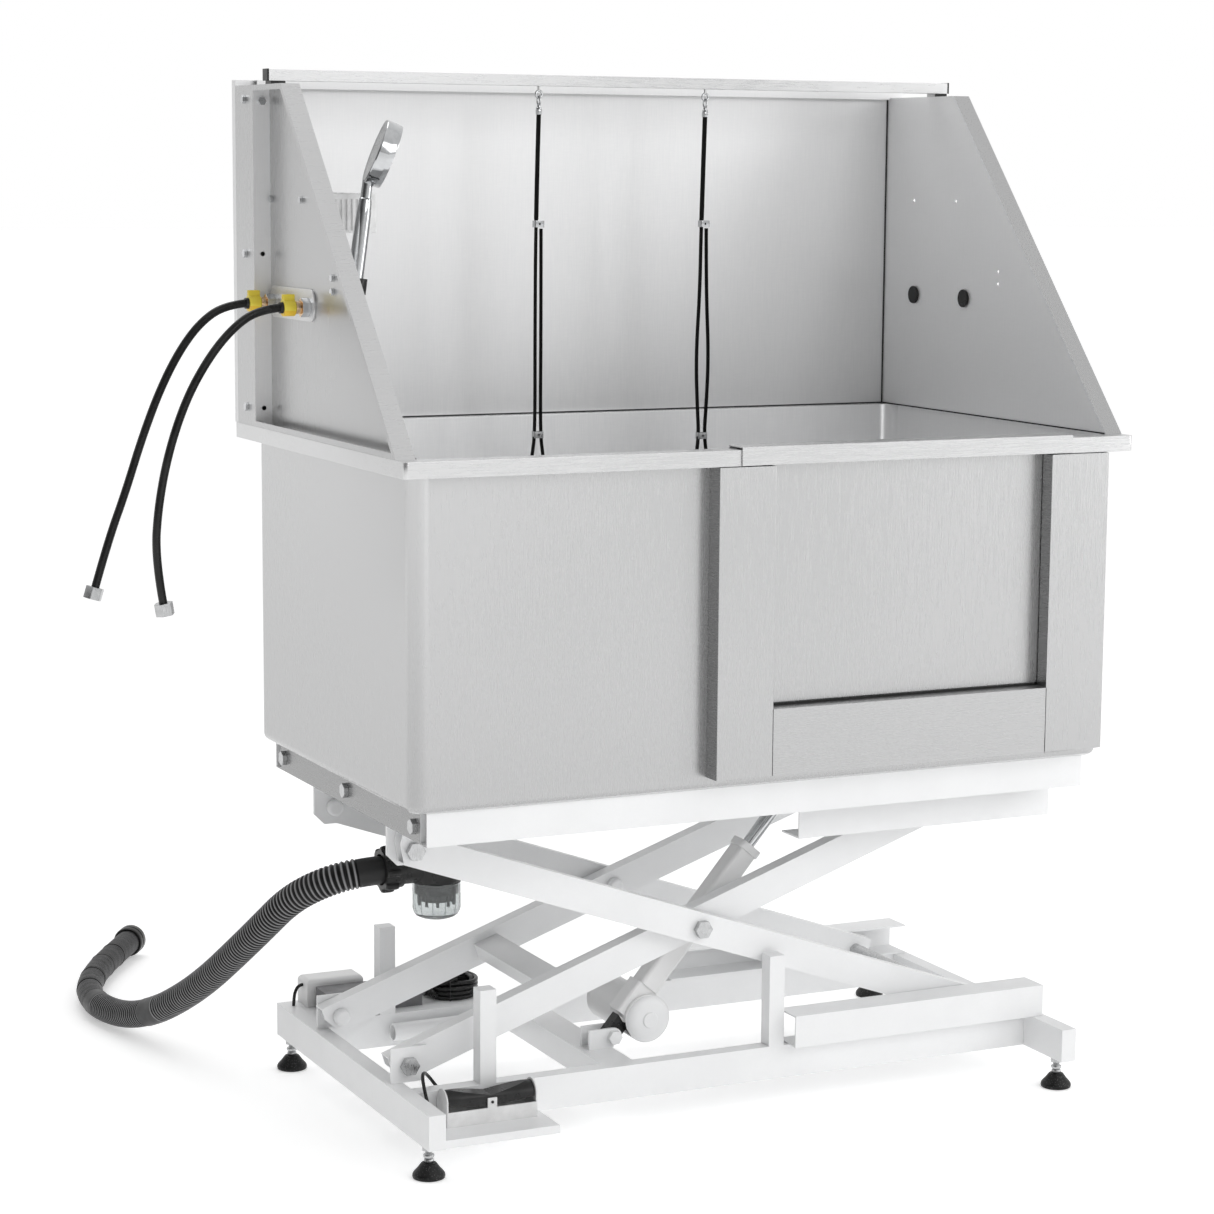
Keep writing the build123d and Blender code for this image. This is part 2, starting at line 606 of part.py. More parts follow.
def upper_pivot_brackets():
    outline = [(-522, FRAME_BOTTOM), (-522, 426), (-506, 410), (-476, 410), (-462, 426), (-462, FRAME_BOTTOM)]
    plate = prism_y(outline, BRACKET_Y, BRACKET_Y + 5)
    return both_sides(plate - rod_y(PIVOT_X, HIGH_Z, BOLT_R + FIT, BRACKET_Y - 1, BRACKET_Y + 6))


def actuator_top_bracket():
    """Two cheeks from the cross member, either side of the rod's eye."""
    cheeks = []
    for side in (-1, 1):
        y0, y1 = sorted((ACTUATOR_Y + side * 22, ACTUATOR_Y + side * 27))
        outline = [(CROSS_MEMBER_X, FRAME_BOTTOM), (CROSS_MEMBER_X, 508), (142, 508), (130, 496), (130, 478),
                   (142, FRAME_BOTTOM)]
        cheeks.append(prism_y(outline, y0, y1))
    return cheeks


# ---- Tub ----
def rounded_block(x0, x1, y0, y1, z0, z1, radius):
    return fillet(block(x0, x1, y0, y1, z0, z1).edges().filter_by(Axis.Z), radius)


def tub_basin():
    """Thin-walled basin with a rolled rim; the front wall and the rim are open at the door."""
    outer = rounded_block(-TUB_X, TUB_X, TUB_FRONT, TUB_BACK, TUB_BOTTOM, RIM_TOP, TUB_CORNER)
    outer = fillet(outer.edges().group_by(Axis.Z)[0], TUB_EDGE)
    inner = rounded_block(SHEET - TUB_X, TUB_X - SHEET, TUB_FRONT + SHEET, TUB_BACK - SHEET,
                          TUB_BOTTOM + SHEET, RIM_TOP + 1, TUB_CORNER - SHEET)
    inner = fillet(inner.edges().group_by(Axis.Z)[0], TUB_EDGE - SHEET)
    rim = rounded_block(-RIM_X, RIM_X, -RIM_Y, RIM_Y, RIM_TOP - RIM_HEIGHT, RIM_TOP, 6)
    rim -= rounded_block(SHEET - RIM_X, RIM_X - SHEET, SHEET - RIM_Y, RIM_Y - SHEET,
                         RIM_TOP - RIM_HEIGHT - 1, RIM_TOP - SHEET, 4)
    basin = outer + rim - inner
    basin -= block(DOOR_LEFT, DOOR_RIGHT, TUB_FRONT - 1, TUB_FRONT + SHEET + 1, SILL_TOP, RIM_TOP + 1)
    rim_cut = DOOR_LAP + 2
    basin -= block(DOOR_LEFT - rim_cut, DOOR_RIGHT + rim_cut, -RIM_Y - 1, TUB_FRONT, RIM_TOP - 30, RIM_TOP + 1)
    return basin - rod_z(DRAIN_X, 0, STRAINER_R, TUB_BOTTOM - 1, TUB_BOTTOM + SHEET + 1)


def drain_strainer():
    """Flanged waste in the tub floor, with a cross of slots over its bore."""
    floor = TUB_BOTTOM + SHEET
    waste = rod_z(DRAIN_X, 0, 40, floor, floor + 2) + rod_z(DRAIN_X, 0, STRAINER_R, TUB_BOTTOM - 30, floor)
    waste -= rod_z(DRAIN_X, 0, STRAINER_R - 3, TUB_BOTTOM - 31, floor)
    holes = [rod_z(DRAIN_X, 0, 3, floor - 1, floor + 3)]
    for ring, count in ((9, 6), (18, 12)):
        for step in range(count):
            angle = 2 * math.pi * step / count
            x, y = ring * math.cos(angle), ring * math.sin(angle)
            holes.append(rod_z(DRAIN_X + x, y, 2.5, floor - 1, floor + 3))
    for hole in holes:
        waste -= hole
    return waste


def door_post(x0, x1, slot_x):
    """A folded cover beside the door, open at the back and slotted for the door's edge."""
    top = RIM_TOP - RIM_HEIGHT - 0.5
    post = block(x0, x1, POST_FRONT, TUB_FRONT, SILL_BOTTOM, top)
    post -= block(x0 + SHEET, x1 - SHEET, POST_FRONT + SHEET, TUB_FRONT + 1, SILL_BOTTOM + SHEET, top + 1)
    return post - block(slot_x - 3, slot_x + 3, TUB_FRONT - 6, TUB_FRONT + 1, SILL_TOP, top + 1)


def door_frame():
    left = door_post(DOOR_LEFT - POST_WIDTH_LEFT, DOOR_LEFT, DOOR_LEFT)
    right = door_post(DOOR_RIGHT, DOOR_RIGHT + POST_WIDTH_RIGHT, DOOR_RIGHT)
    sill = block(DOOR_LEFT, DOOR_RIGHT, POST_FRONT, TUB_FRONT, SILL_BOTTOM, SILL_TOP)
    sill -= block(DOOR_LEFT - 1, DOOR_RIGHT + 1, POST_FRONT + SHEET, TUB_FRONT + 1,
                  SILL_BOTTOM + SHEET, SILL_TOP - SHEET)
    return [left, right, sill]


def door_seal():
    return block(DOOR_LEFT, DOOR_RIGHT, TUB_FRONT - 7, TUB_FRONT, SILL_TOP, SILL_TOP + 3.5)


def door_panel():
    """The lift-out door: a flat panel hung from a cap that straddles the rim."""
    panel = block(DOOR_LEFT - DOOR_LAP, DOOR_RIGHT + DOOR_LAP, TUB_FRONT - 4.5, TUB_FRONT - 1.5,
                  SILL_TOP + 4, CAP_TOP - 1)
    cap = block(CAP_LEFT, CAP_RIGHT, CAP_FRONT, CAP_BACK, RIM_TOP - 22, CAP_TOP)
    cap -= block(CAP_LEFT - 1, CAP_RIGHT + 1, CAP_FRONT + SHEET, CAP_BACK - SHEET, RIM_TOP - 23, CAP_TOP - SHEET)
    return panel + cap


# ---- Splash panels ----
def panel_outline(x):
    corners = [(PANEL_BACK, RIM_TOP), (PANEL_BACK, PANEL_TOP), (PANEL_TOP_FRONT, PANEL_TOP),
               (PANEL_BOTTOM_FRONT, RIM_TOP)]
    return make_face(Polyline(*[(x, y, z) for y, z in corners], close=True))


def side_panel(holes):
    """The left panel: a sheet with outward flanges, a lip round their edge and a boxed back column.

    Each hole through the sheet is given as Y, Z and radius.
    """
    depth = RIM_X - PANEL_X
    tray = extrude(panel_outline(-RIM_X), amount=depth, dir=(1, 0, 0))
    pocket = offset(panel_outline(-RIM_X - 1), amount=-SHEET, kind=Kind.INTERSECTION)
    tray -= extrude(pocket, amount=depth + 1 - SHEET, dir=(1, 0, 0))
    window = offset(panel_outline(-RIM_X), amount=-PANEL_LIP, kind=Kind.INTERSECTION)
    tray += extrude(panel_outline(-RIM_X) - window, amount=SHEET, dir=(1, 0, 0))
    z0, z1 = RIM_TOP + SHEET, PANEL_TOP - SHEET
    column = block(-RIM_X, SHEET - RIM_X, PANEL_COLUMN_FRONT, PANEL_BACK - SHEET, z0, z1)
    column += block(-RIM_X, -PANEL_X - SHEET, PANEL_COLUMN_FRONT, PANEL_COLUMN_FRONT + SHEET, z0, z1)
    panel = tray + column
    for z in COLUMN_HOLES:
        panel -= rod_y(COLUMN_BOLT_X, z, 3.5, PANEL_COLUMN_FRONT - 1, PANEL_COLUMN_FRONT + SHEET + 1)
    for y, z, radius in holes:
        panel -= rod_x(y, z, radius, -RIM_X - 1, 1 - PANEL_X)
    return panel


def left_panel():
    return side_panel([(y, INLET_Z, PLUG_R) for y in (INLET_FRONT_Y, INLET_BACK_Y)])


def right_panel():
    holes = [(y, z, 3) for y, z in CADDY_BOLTS + HOLDER_BOLTS]
    holes += [(y, INLET_Z, PLUG_R) for y in (INLET_FRONT_Y, INLET_BACK_Y)]
    return mirror(side_panel(holes), about=Plane.YZ)


def back_panel():
    """The back sheet with its edges folded back, and a narrow lip forward along the top."""
    sheet = block(-RIM_X, RIM_X, PANEL_BACK, RIM_Y, RIM_TOP, BACK_TOP)
    sheet -= block(SHEET - RIM_X, RIM_X - SHEET, PANEL_BACK + SHEET, RIM_Y + 1, RIM_TOP + SHEET, BACK_TOP - SHEET)
    x = PANEL_X - SHEET
    lip = block(-x, x, PANEL_BACK - 12, PANEL_BACK, BACK_TOP - SHEET, BACK_TOP)
    return sheet + lip + block(-x, x, PANEL_BACK - 12, PANEL_BACK - 10, BACK_TOP - 12, BACK_TOP)


def top_rail():
    """The leash rail: an upturned U on two feet, with end caps and two eyes underneath."""
    y0, y1 = RAIL_Y - 10, RAIL_Y + 10
    half = RIM_X - 3.5
    rail = block(-half, half, y0, y1, RAIL_TOP - 16, RAIL_TOP)
    rail -= block(-half - 1, half + 1, y0 + SHEET, y1 - SHEET, RAIL_TOP - 17, RAIL_TOP - SHEET)
    shapes = []
    for side in (-1, 1):
        shapes.append(block(side * half, side * (half + 3), y0, y1, RAIL_TOP - 16, RAIL_TOP + 1))
        shapes.append(block(side * (half - 24), side * (half - 2), y0 - 2, y1 + 2, PANEL_TOP, RAIL_TOP - 16))
        x = side * LOOP_X
        stem = rod_z(x, RAIL_Y, 2, EYE_Z + EYE_R, RAIL_TOP - SHEET)
        shapes.append(stem + Pos(x, RAIL_Y, EYE_Z) * Rot(90, 0, 0) * Torus(EYE_R, WIRE_R))
    return [rail, *shapes]


def platform_bolts():
    """Bolts through the top frame's ends and the panels' columns, and those of caddy and holder."""
    bolts = []
    for y, z in FRAME_BOLTS:
        bolt = hex_x(y, z, 19, -FRAME_X - 7, -FRAME_X) + rod_x(y, z, 5, -FRAME_X, SHEET - FRAME_X)
        bolts += [bolt, mirror(bolt, about=Plane.YZ)]
    for y, z in COLUMN_BOLTS:
        bolt = hex_x(y, z, 11, -RIM_X - 5, -RIM_X)
        bolts += [bolt, mirror(bolt, about=Plane.YZ)]
    bolt = hex_y(COLUMN_BOLT_X, 1468, 11, PANEL_COLUMN_FRONT - 5, PANEL_COLUMN_FRONT)
    bolts += [bolt, mirror(bolt, about=Plane.YZ)]
    for y, z in CADDY_BOLTS + HOLDER_BOLTS:
        bolts.append(hex_x(y, z, 9, -PANEL_X - SHEET - 5, -PANEL_X - SHEET))
    return bolts


def hole_plugs():
    """Rubber plugs that close the right panel's inlet holes."""
    plugs = []
    for y in (INLET_FRONT_Y, INLET_BACK_Y):
        plug = rod_x(y, INLET_Z, PLUG_R, PANEL_X - 4, PANEL_X + SHEET + 3)
        plugs.append(plug + rod_x(y, INLET_Z, PLUG_R + 3, PANEL_X - 4, PANEL_X))
    return plugs


# ---- Drain ----
def hair_trap_body():
    """The trap under the drain: a socket, a side outlet and the hair basket that hangs inside."""
    x = DRAIN_X
    shape = rod_z(x, 0, 37, TRAP_BOTTOM, 392) + rod_z(x, 0, 31, 392, TUB_BOTTOM)
    shape += rod_x(0, DRAIN_Z, 24, OUTLET_END, x)
    shape -= rod_z(x, 0, STRAINER_R + FIT, TUB_BOTTOM - 35, TUB_BOTTOM + 1)
    shape -= rod_z(x, 0, 22, TRAP_BOTTOM - 1, TUB_BOTTOM - 34)
    shape -= rod_x(0, DRAIN_Z, 20, OUTLET_END - 1, x)
    basket = rod_z(x, 0, 21.9, TRAP_BOTTOM - 26, TRAP_BOTTOM + 10)
    basket -= rod_z(x, 0, 19, TRAP_BOTTOM - 24, TRAP_BOTTOM + 11)
    return [shape, basket]


def hair_trap_bowl():
    bowl = rod_z(DRAIN_X, 0, 36, BOWL_BOTTOM, TRAP_BOTTOM - 1.3)
    bowl = fillet(bowl.edges().group_by(Axis.Z)[0], 14)
    hollow = rod_z(DRAIN_X, 0, 33, BOWL_BOTTOM + 3, TRAP_BOTTOM)
    hollow = fillet(hollow.edges().group_by(Axis.Z)[0], 11)
    return bowl - hollow


def drain_union_nut():
    x = DRAIN_X - 57
    nut = rod_x(0, DRAIN_Z, 31, x - 30, x)
    for step in range(10):
        angle = 2 * math.pi * step / 10
        y, z = 31 * math.cos(angle), DRAIN_Z + 31 * math.sin(angle)
        nut += rod_x(y, z, 4, x - 30, x)
    return nut - rod_x(0, DRAIN_Z, 24 + FIT, x - 31, x + 1)


# ---- Water supply ----
def inlet_fittings():
    """The cover plate on the left panel, and for each inlet a nut, a brass body and a hose sleeve."""
    x = -PANEL_X - SHEET
    plate = block(x - 3, x, INLET_FRONT_Y - 24, INLET_BACK_Y + 14, INLET_Z - 20, INLET_Z + 26)
    plate = fillet(plate.edges().filter_by(Axis.X), 18)
    base = x - 3
    shapes = []
    for y in (INLET_FRONT_Y, INLET_BACK_Y):
        nut = hex_x(y, INLET_Z, 24, base - 12, base)
        brass = rod_x(y, INLET_Z, 9, base - 20, base - 12)
        sleeve = rod_x(y, INLET_Z, 8, SLEEVE_END, base - 20)
        shapes += [nut, brass, sleeve]
    return [plate, *shapes]


def hose_clips():
    """A spring clip with two finger ears round each hose sleeve."""
    clips = []
    for y in (INLET_FRONT_Y, INLET_BACK_Y):
        x0, x1 = SLEEVE_END + 5, SLEEVE_END + 22
        clip = rod_x(y, INLET_Z, 12, x0, x1)
        clip += block(x0, x1, y - 4, y - 1.5, INLET_Z + 10, INLET_Z + 19)
        clip += block(x0, x1, y + 1.5, y + 4, INLET_Z + 10, INLET_Z + 19)
        clips.append(clip - rod_x(y, INLET_Z, 8, x0 - 1, x1 + 1))
    return clips


def supply_nut(route):
    """The swivel nut on a supply hose's free end, in line with its last run."""
    before, end = Vector(*route[-2]), Vector(*route[-1])
    along = (end - before).normalized()
    nut = extrude(RegularPolygon(12, 6, major_radius=False), 18) - Pos(0, 0, 12) * Cylinder(9.3, 16)
    return Plane(origin=end, z_dir=along).location * nut


def mixer_body():
    """The wall mixer inside the left panel: two unions, a bar and a hose outlet below."""
    x = -PANEL_X
    bar_x = x + 30
    body = rod_y(bar_x, INLET_Z, 20, INLET_FRONT_Y - 22, INLET_BACK_Y + 22)
    for y in (INLET_FRONT_Y, INLET_BACK_Y):
        body += rod_x(y, INLET_Z, 15, x, bar_x)
    body += rod_x((INLET_FRONT_Y + INLET_BACK_Y) / 2, INLET_Z, 17, bar_x, bar_x + 26)
    return body + rod_z(bar_x, (INLET_FRONT_Y + INLET_BACK_Y) / 2, 10, INLET_Z - 38, INLET_Z - 15)


def mixer_lever():
    y = (INLET_FRONT_Y + INLET_BACK_Y) / 2
    x = 30 - PANEL_X + 26.3
    lever = rod_x(y, INLET_Z, 18, x, x + 16)
    return lever + block(x + 4, x + 13, y - 7, y + 7, INLET_Z, INLET_Z + 78)


def drain_hose_cuff():
    """The collar over the drain hose's free end."""
    before, end = Vector(*DRAIN_HOSE[-2]), Vector(*DRAIN_HOSE[-1])
    along = (end - before).normalized()
    collar = Pos(0, 0, 13) * (Cylinder(25.5, 26) - Cylinder(DRAIN_HOSE_D / 2 + FIT, 30))
    return Plane(origin=end, z_dir=-along).location * collar


# ---- Hand shower, drawn upright on its handle's axis and then tilted ----
def on_shower(shape):
    return Pos(*SHOWER_PLACE) * Rot(0, SHOWER_TILT, 0) * Rot(0, 0, -SHOWER_TURN) * shape


def hand_shower():
    """Handle, neck and round head, whose face looks into the tub and down."""
    handle = Pos(0, 0, 45) * Cylinder(11, 150) + Pos(0, 0, 132) * Cylinder(7.5, 30)
    handle += Pos(0, 0, -34) * Cylinder(8, 12)
    head = fillet(Cylinder(47, 24).edges().group_by(Axis.Z)[0], 9)
    return on_shower(handle + Pos(16, 0, 186) * Rot(0, 104, 0) * head)


def shower_holder():
    """A wall plate and an arm that ends in a ring round the handle."""
    x, y, z = SHOWER_PLACE
    ring = on_shower(Cylinder(17, 22))
    plate = block(-PANEL_X, 5 - PANEL_X, y - 15, y + 15, z - 24, z + 26)
    arm_block = block(-PANEL_X, x - 8, y - 8, y + 8, z - 9, z + 9)
    handle_gap = on_shower(Cylinder(11.3, 60))
    return plate + arm_block + ring - handle_gap


def shower_caddy():
    """An open basket on the left panel for soap and brushes, its walls ribbed."""
    x0, x1, y0, y1, z0, z1 = CADDY
    basket = block(x0, x1, y0, y1, z0, z1) - block(x0 + 3, x1 - 3, y0 + 3, y1 - 3, z0 + 3, z1 + 1)
    ribs = int((x1 - x0) / RIB_PITCH)
    for step in range(1, ribs):
        x = x0 + step * RIB_PITCH
        basket += block(x - 1.5, x + 1.5, y0 - 2, y0, z0 + 4, z1 - 8)
    return basket


# ---- Grooming loops ----
def loop_fittings(x, stop_ring_z):
    """The snap link in the rail's eye, and the slider and stop ring on the strap."""
    y = RAIL_Y
    link_z = EYE_Z - 2 * EYE_R + 2 * WIRE_R + 0.4
    link = Pos(x, y, link_z) * Rot(0, 90, 0) * Torus(EYE_R, WIRE_R)
    link += rod_z(x, y, 4.5, STRAP_TOP + 8, link_z - EYE_R)
    link += block(x - 8, x + 8, y - 2, y + 2, STRAP_TOP, STRAP_TOP + 9)
    shapes = [link]
    for z in (SLIDER_Z, stop_ring_z):
        ring = block(x - 12.5, x + 12.5, y - 6, y + 6, z, z + 12)
        shapes.append(ring - block(x - 10, x + 10, y - 4.3, y + 4.3, z - 1, z + 13))
    return shapes


# ---- Write every node ----
def build():
    save(base_frame(), "base_frame")
    save(both_sides(channel(LOW_Z - CHANNEL_HEIGHT / 2)), "lower_channels")
    save(base_pivot_bolts(), "base_pivot_bolts")
    save(pedal_base(), "pedal_base")
    save(pedal_rocker(), "pedal_rocker")
    save(foot_lock_nuts(), "foot_lock_nuts")
    for name, x, y in feet_places():
        save(levelling_foot(x, y), name)
    save(control_box(), "control_box")
    save(power_unit(), "power_unit")
    save(mains_lead(), "mains_lead")
    save(mains_lead_coil(), "mains_lead_coil")
    save(mains_plug(), "mains_plug")
    save(cord_tube("pedal_cable", PEDAL_CABLE, SMALL_CABLE_D), "pedal_cable")
    save(cord_tube("power_cable", POWER_CABLE, SMALL_CABLE_D), "power_cable")
    save(inner_arms(), "inner_arms")
    save(outer_arms(), "outer_arms")
    save(outer_arm_bolts(), "outer_arm_bolts")
    save(roller_axle(LOW_Z, OUTER_ARM_Y + TUBE), "lower_axle")
    save(roller_axle(HIGH_Z, INNER_ARM_Y + TUBE), "upper_axle")
    save(rollers(LOW_Z), "lower_rollers")
    save(rollers(HIGH_Z), "upper_rollers")
    save(actuator_motor(), "actuator_motor")
    save(gear_housing(), "gear_housing")
    save(actuator_tube(), "actuator_tube")
    save(actuator_rod(), "actuator_rod")
    save(top_frame(), "top_frame")
    save(both_sides(channel(HIGH_Z - CHANNEL_HEIGHT / 2)), "upper_channels")
    save(tub_basin(), "tub_basin")
    save(drain_strainer(), "drain_strainer")
    save(door_frame(), "door_frame")
    save(door_seal(), "door_seal")
    save(door_panel(), "door_panel")
    save(left_panel(), "left_panel")
    save(right_panel(), "right_panel")
    save(back_panel(), "back_panel")
    save(top_rail(), "top_rail")
    save(platform_bolts(), "platform_bolts")
    save(hole_plugs(), "hole_plugs")
    save(hair_trap_body(), "hair_trap_body")
    save(hair_trap_bowl(), "hair_trap_bowl")
    save(drain_union_nut(), "drain_union_nut")
    save(cord_tube("drain_hose", DRAIN_HOSE, DRAIN_HOSE_D), "drain_hose")
    save(drain_hose_cuff(), "drain_hose_cuff")
    save(mixer_body(), "mixer_body")
    save(mixer_lever(), "mixer_lever")
    save(inlet_fittings(), "inlet_fittings")
    save(hose_clips(), "hose_clips")
    save(cord_tube("supply_hose_front", SUPPLY_FRONT, SUPPLY_D), "supply_hose_front")
    save(cord_tube("supply_hose_back", SUPPLY_BACK, SUPPLY_D), "supply_hose_back")
    save([supply_nut(SUPPLY_FRONT), supply_nut(SUPPLY_BACK)], "supply_nuts")
    save(shower_holder(), "shower_holder")
    save(shower_caddy(), "shower_caddy")
    save(hand_shower(), "hand_shower")
    save(loop_fittings(-LOOP_X, STOP_RING_LEFT_Z), "loop_left_fittings")
    save(loop_fittings(LOOP_X, STOP_RING_RIGHT_Z), "loop_right_fittings")
    save(cord_tube("loop_left_strap", LOOP_LEFT, STRAP_D), "loop_left_strap")
    save(cord_tube("loop_right_strap", LOOP_RIGHT, STRAP_D), "loop_right_strap")


build()
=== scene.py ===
"""Looks of the electric-lift pet bathtub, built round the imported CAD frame.

Metres, with X along the tub, Y towards its back and Z up. Places named below are in millimetres.
"""

import math

import bmesh
import bpy
from mathutils import Matrix, Vector


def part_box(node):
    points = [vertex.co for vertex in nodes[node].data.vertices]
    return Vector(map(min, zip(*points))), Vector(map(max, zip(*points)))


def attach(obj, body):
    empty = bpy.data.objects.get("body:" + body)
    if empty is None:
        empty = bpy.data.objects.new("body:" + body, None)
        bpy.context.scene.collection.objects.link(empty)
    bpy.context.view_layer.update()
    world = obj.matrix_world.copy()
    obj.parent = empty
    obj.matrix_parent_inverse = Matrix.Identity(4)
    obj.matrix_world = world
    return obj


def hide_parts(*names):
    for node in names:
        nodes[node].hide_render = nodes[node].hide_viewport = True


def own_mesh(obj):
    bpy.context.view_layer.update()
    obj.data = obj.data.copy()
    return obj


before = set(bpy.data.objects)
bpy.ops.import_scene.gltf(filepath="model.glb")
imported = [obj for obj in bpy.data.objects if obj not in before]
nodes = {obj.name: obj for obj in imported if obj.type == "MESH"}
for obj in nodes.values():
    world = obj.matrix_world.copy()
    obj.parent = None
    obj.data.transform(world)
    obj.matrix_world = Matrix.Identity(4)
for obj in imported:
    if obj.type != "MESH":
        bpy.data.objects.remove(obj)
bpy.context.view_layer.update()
MM = 0.001

# The camera: its place in metres, its angles in degrees, and its focal length and width in pixels
CAMERA_PLACE = (-2.0210, -4.0103, 1.3742)
CAMERA_ANGLES = (25.43, 8.22, 0.40)
FOCAL_PIXELS = 3034.4
IMAGE_PIXELS = 1214
SENSOR_MM = 36.0

# The tub's rim and door, the splash panels, the drain, the grooming loops and the wound mains lead
RIM_FOOT, RIM_TOP = 971.0, 994.0
DOOR_SIDES = (-21.0, 431.0)
SILL_FOOT, SILL_TOP = 535.0, 630.0
PANEL_X, PANEL_BACK, PANEL_TOP, PANEL_FRONT = 543.5, 329.5, 1490.0, -312.0
DRAIN_X, OUTLET_Z = -387.0, 369.0
LOOP_X, LOOP_Y = 140.0, 196.0
COIL_X, COIL_Y = -262.0, 254.0

SMOOTH_BELOW = math.radians(32)


# ---------------------------------------------------------------- shared steps
def place_object(name, data):
    """A new object of this name and data, linked to the scene."""
    obj = bpy.data.objects.new(name, data)
    bpy.context.scene.collection.objects.link(obj)
    return obj


def shade_smooth(mesh, angle=SMOOTH_BELOW):
    mesh.polygons.foreach_set("use_smooth", [True] * len(mesh.polygons))
    mesh.set_sharp_from_angle(angle=angle)


def around(count):
    """Evenly spaced angles once round a circle."""
    return [2 * math.pi * k / count for k in range(count)]


# ---------------------------------------------------------------- camera
def make_camera():
    yaw, pitch, roll = (math.radians(v) for v in CAMERA_ANGLES)
    forward = Vector((math.sin(yaw) * math.cos(pitch), math.cos(yaw) * math.cos(pitch), -math.sin(pitch)))
    level = Vector((math.cos(yaw), -math.sin(yaw), 0.0))
    upright = level.cross(forward)
    right = level * math.cos(roll) + upright * math.sin(roll)
    up = upright * math.cos(roll) - level * math.sin(roll)
    data = bpy.data.cameras.new("camera")
    data.sensor_width = SENSOR_MM
    data.lens = SENSOR_MM * FOCAL_PIXELS / IMAGE_PIXELS
    data.clip_end = 100.0
    camera = place_object("camera", data)
    turned = Matrix((right, up, -forward)).transposed().to_4x4()
    camera.matrix_world = Matrix.Translation(CAMERA_PLACE) @ turned
    bpy.context.scene.camera = camera


# ---------------------------------------------------------------- node graphs
class Graph:
    """One material's node tree, with short names for the nodes that every finish uses."""

    def __init__(self, name):
        self.material = bpy.data.materials.new(name)
        self.material.use_nodes = True
        self.tree = self.material.node_tree
        self.shader = self.tree.nodes["Principled BSDF"]
        self.coords = self.add("ShaderNodeTexCoord").outputs["Object"]

    def add(self, kind, inputs=None, **settings):
        node = self.tree.nodes.new(kind)
        for key, value in settings.items():
            setattr(node, key, value)
        for key, value in (inputs or {}).items():
            self.put(node.inputs[key], value)
        return node

    def put(self, socket, value):
        if isinstance(value, bpy.types.NodeSocket):
            self.tree.links.new(value, socket)
        else:
            socket.default_value = value

    def set(self, **values):
        for key, value in values.items():
            self.put(self.shader.inputs[key.replace("_", " ")], value)

    def stretched(self, x, y, z):
        return self.add("ShaderNodeMapping", {"Vector": self.coords, "Scale": (x, y, z)}).outputs["Vector"]

    def noise(self, scale, detail=3.0, rough=0.5, vector=None):
        inputs = {"Vector": vector or self.coords, "Scale": scale, "Detail": detail, "Roughness": rough}
        return self.add("ShaderNodeTexNoise", inputs).outputs["Fac"]

    def ramp(self, value, low, high, at=(0.3, 0.7)):
        inputs = {"Value": value, "From Min": at[0], "From Max": at[1], "To Min": low, "To Max": high}
        return self.add("ShaderNodeMapRange", inputs).outputs["Result"]

    def mix(self, share, a, b):
        made = self.add("ShaderNodeMix", data_type="RGBA")
        self.put(made.inputs["Factor"], share)
        self.put(made.inputs["A"], (*a, 1.0) if isinstance(a, tuple) else a)
        self.put(made.inputs["B"], (*b, 1.0) if isinstance(b, tuple) else b)
        return made.outputs["Result"]

    def maths(self, operation, a, b):
        return self.add("ShaderNodeMath", {0: a, 1: b}, operation=operation).outputs[0]

    def bump(self, height, strength, distance, normal=None):
        made = self.add("ShaderNodeBump", {"Height": height, "Strength": strength, "Distance": distance})
        if normal is not None:
            self.put(made.inputs["Normal"], normal)
        return made.outputs["Normal"]


def times(colour, factor, more=0.0):
    return tuple(c * factor + more for c in colour)


def brushed(name, grain, tone=0.56, rough=(0.25, 0.32), metal=0.86, foot_shade=0.0):
    """Sheet steel brushed along the axis that grain names, cloudy, and darkened towards its foot with painted
    shade.
    """
    g = Graph(name)
    fine_grain = g.noise(1.0, 2.0, 0.6, g.stretched(*[26.0 if axis == grain else 620.0 for axis in "XYZ"]))
    cross_grain = g.noise(1.0, 2.0, 0.6, g.stretched(*[430.0 if axis == grain else 60.0 for axis in "XYZ"]))
    cloud = g.noise(1.5, 2.0, 0.45)
    colour = g.mix(g.ramp(fine_grain, 0.0, 1.0), times((0.965, 0.97, 0.978), tone), (tone * 1.03,) * 3)
    colour = g.mix(g.ramp(cross_grain, 0.0, 0.35), colour, times((0.93, 0.935, 0.94), tone))
    colour = g.mix(g.ramp(cloud, 0.0, 0.5), colour, times((1.12, 1.12, 1.125), tone))
    height = g.add("ShaderNodeSeparateXYZ", {"Vector": g.coords}).outputs["Z"]
    # Painted shade: the colour darkens towards the foot, from 0.96 m down to 0.55 m in height.
    colour = g.mix(g.ramp(height, foot_shade, 0.0, (0.55, 0.96)), colour, times((0.5, 0.5, 0.505), tone))
    level = g.maths("ADD", g.ramp(fine_grain, *rough), g.ramp(cloud, -0.03, 0.04))
    g.set(Base_Color=colour, Metallic=metal, Roughness=level,
          Normal=g.bump(fine_grain, 0.02, 0.0003, g.bump(cross_grain, 0.01, 0.0003)))
    return g.material


def painted(name, colour, rough=0.34, wear=0.06):
    """Powder coat: orange peel, faint dust in broad patches and a slight sheen."""
    g = Graph(name)
    shade = g.mix(g.ramp(g.noise(7.0, 5.0, 0.6), 0.0, 1.0), times(colour, 1 - wear), colour)
    shade = g.mix(g.ramp(g.noise(240.0, 2.0), 0.0, 0.25), shade, times(colour, 0.94))
    g.set(Base_Color=shade, Roughness=g.ramp(g.noise(30.0, 4.0), rough - 0.06, rough + 0.10),
          Normal=g.bump(g.noise(420.0, 2.0), 0.10, 0.0005), Coat_Weight=0.15, Coat_Roughness=0.18)
    return g.material


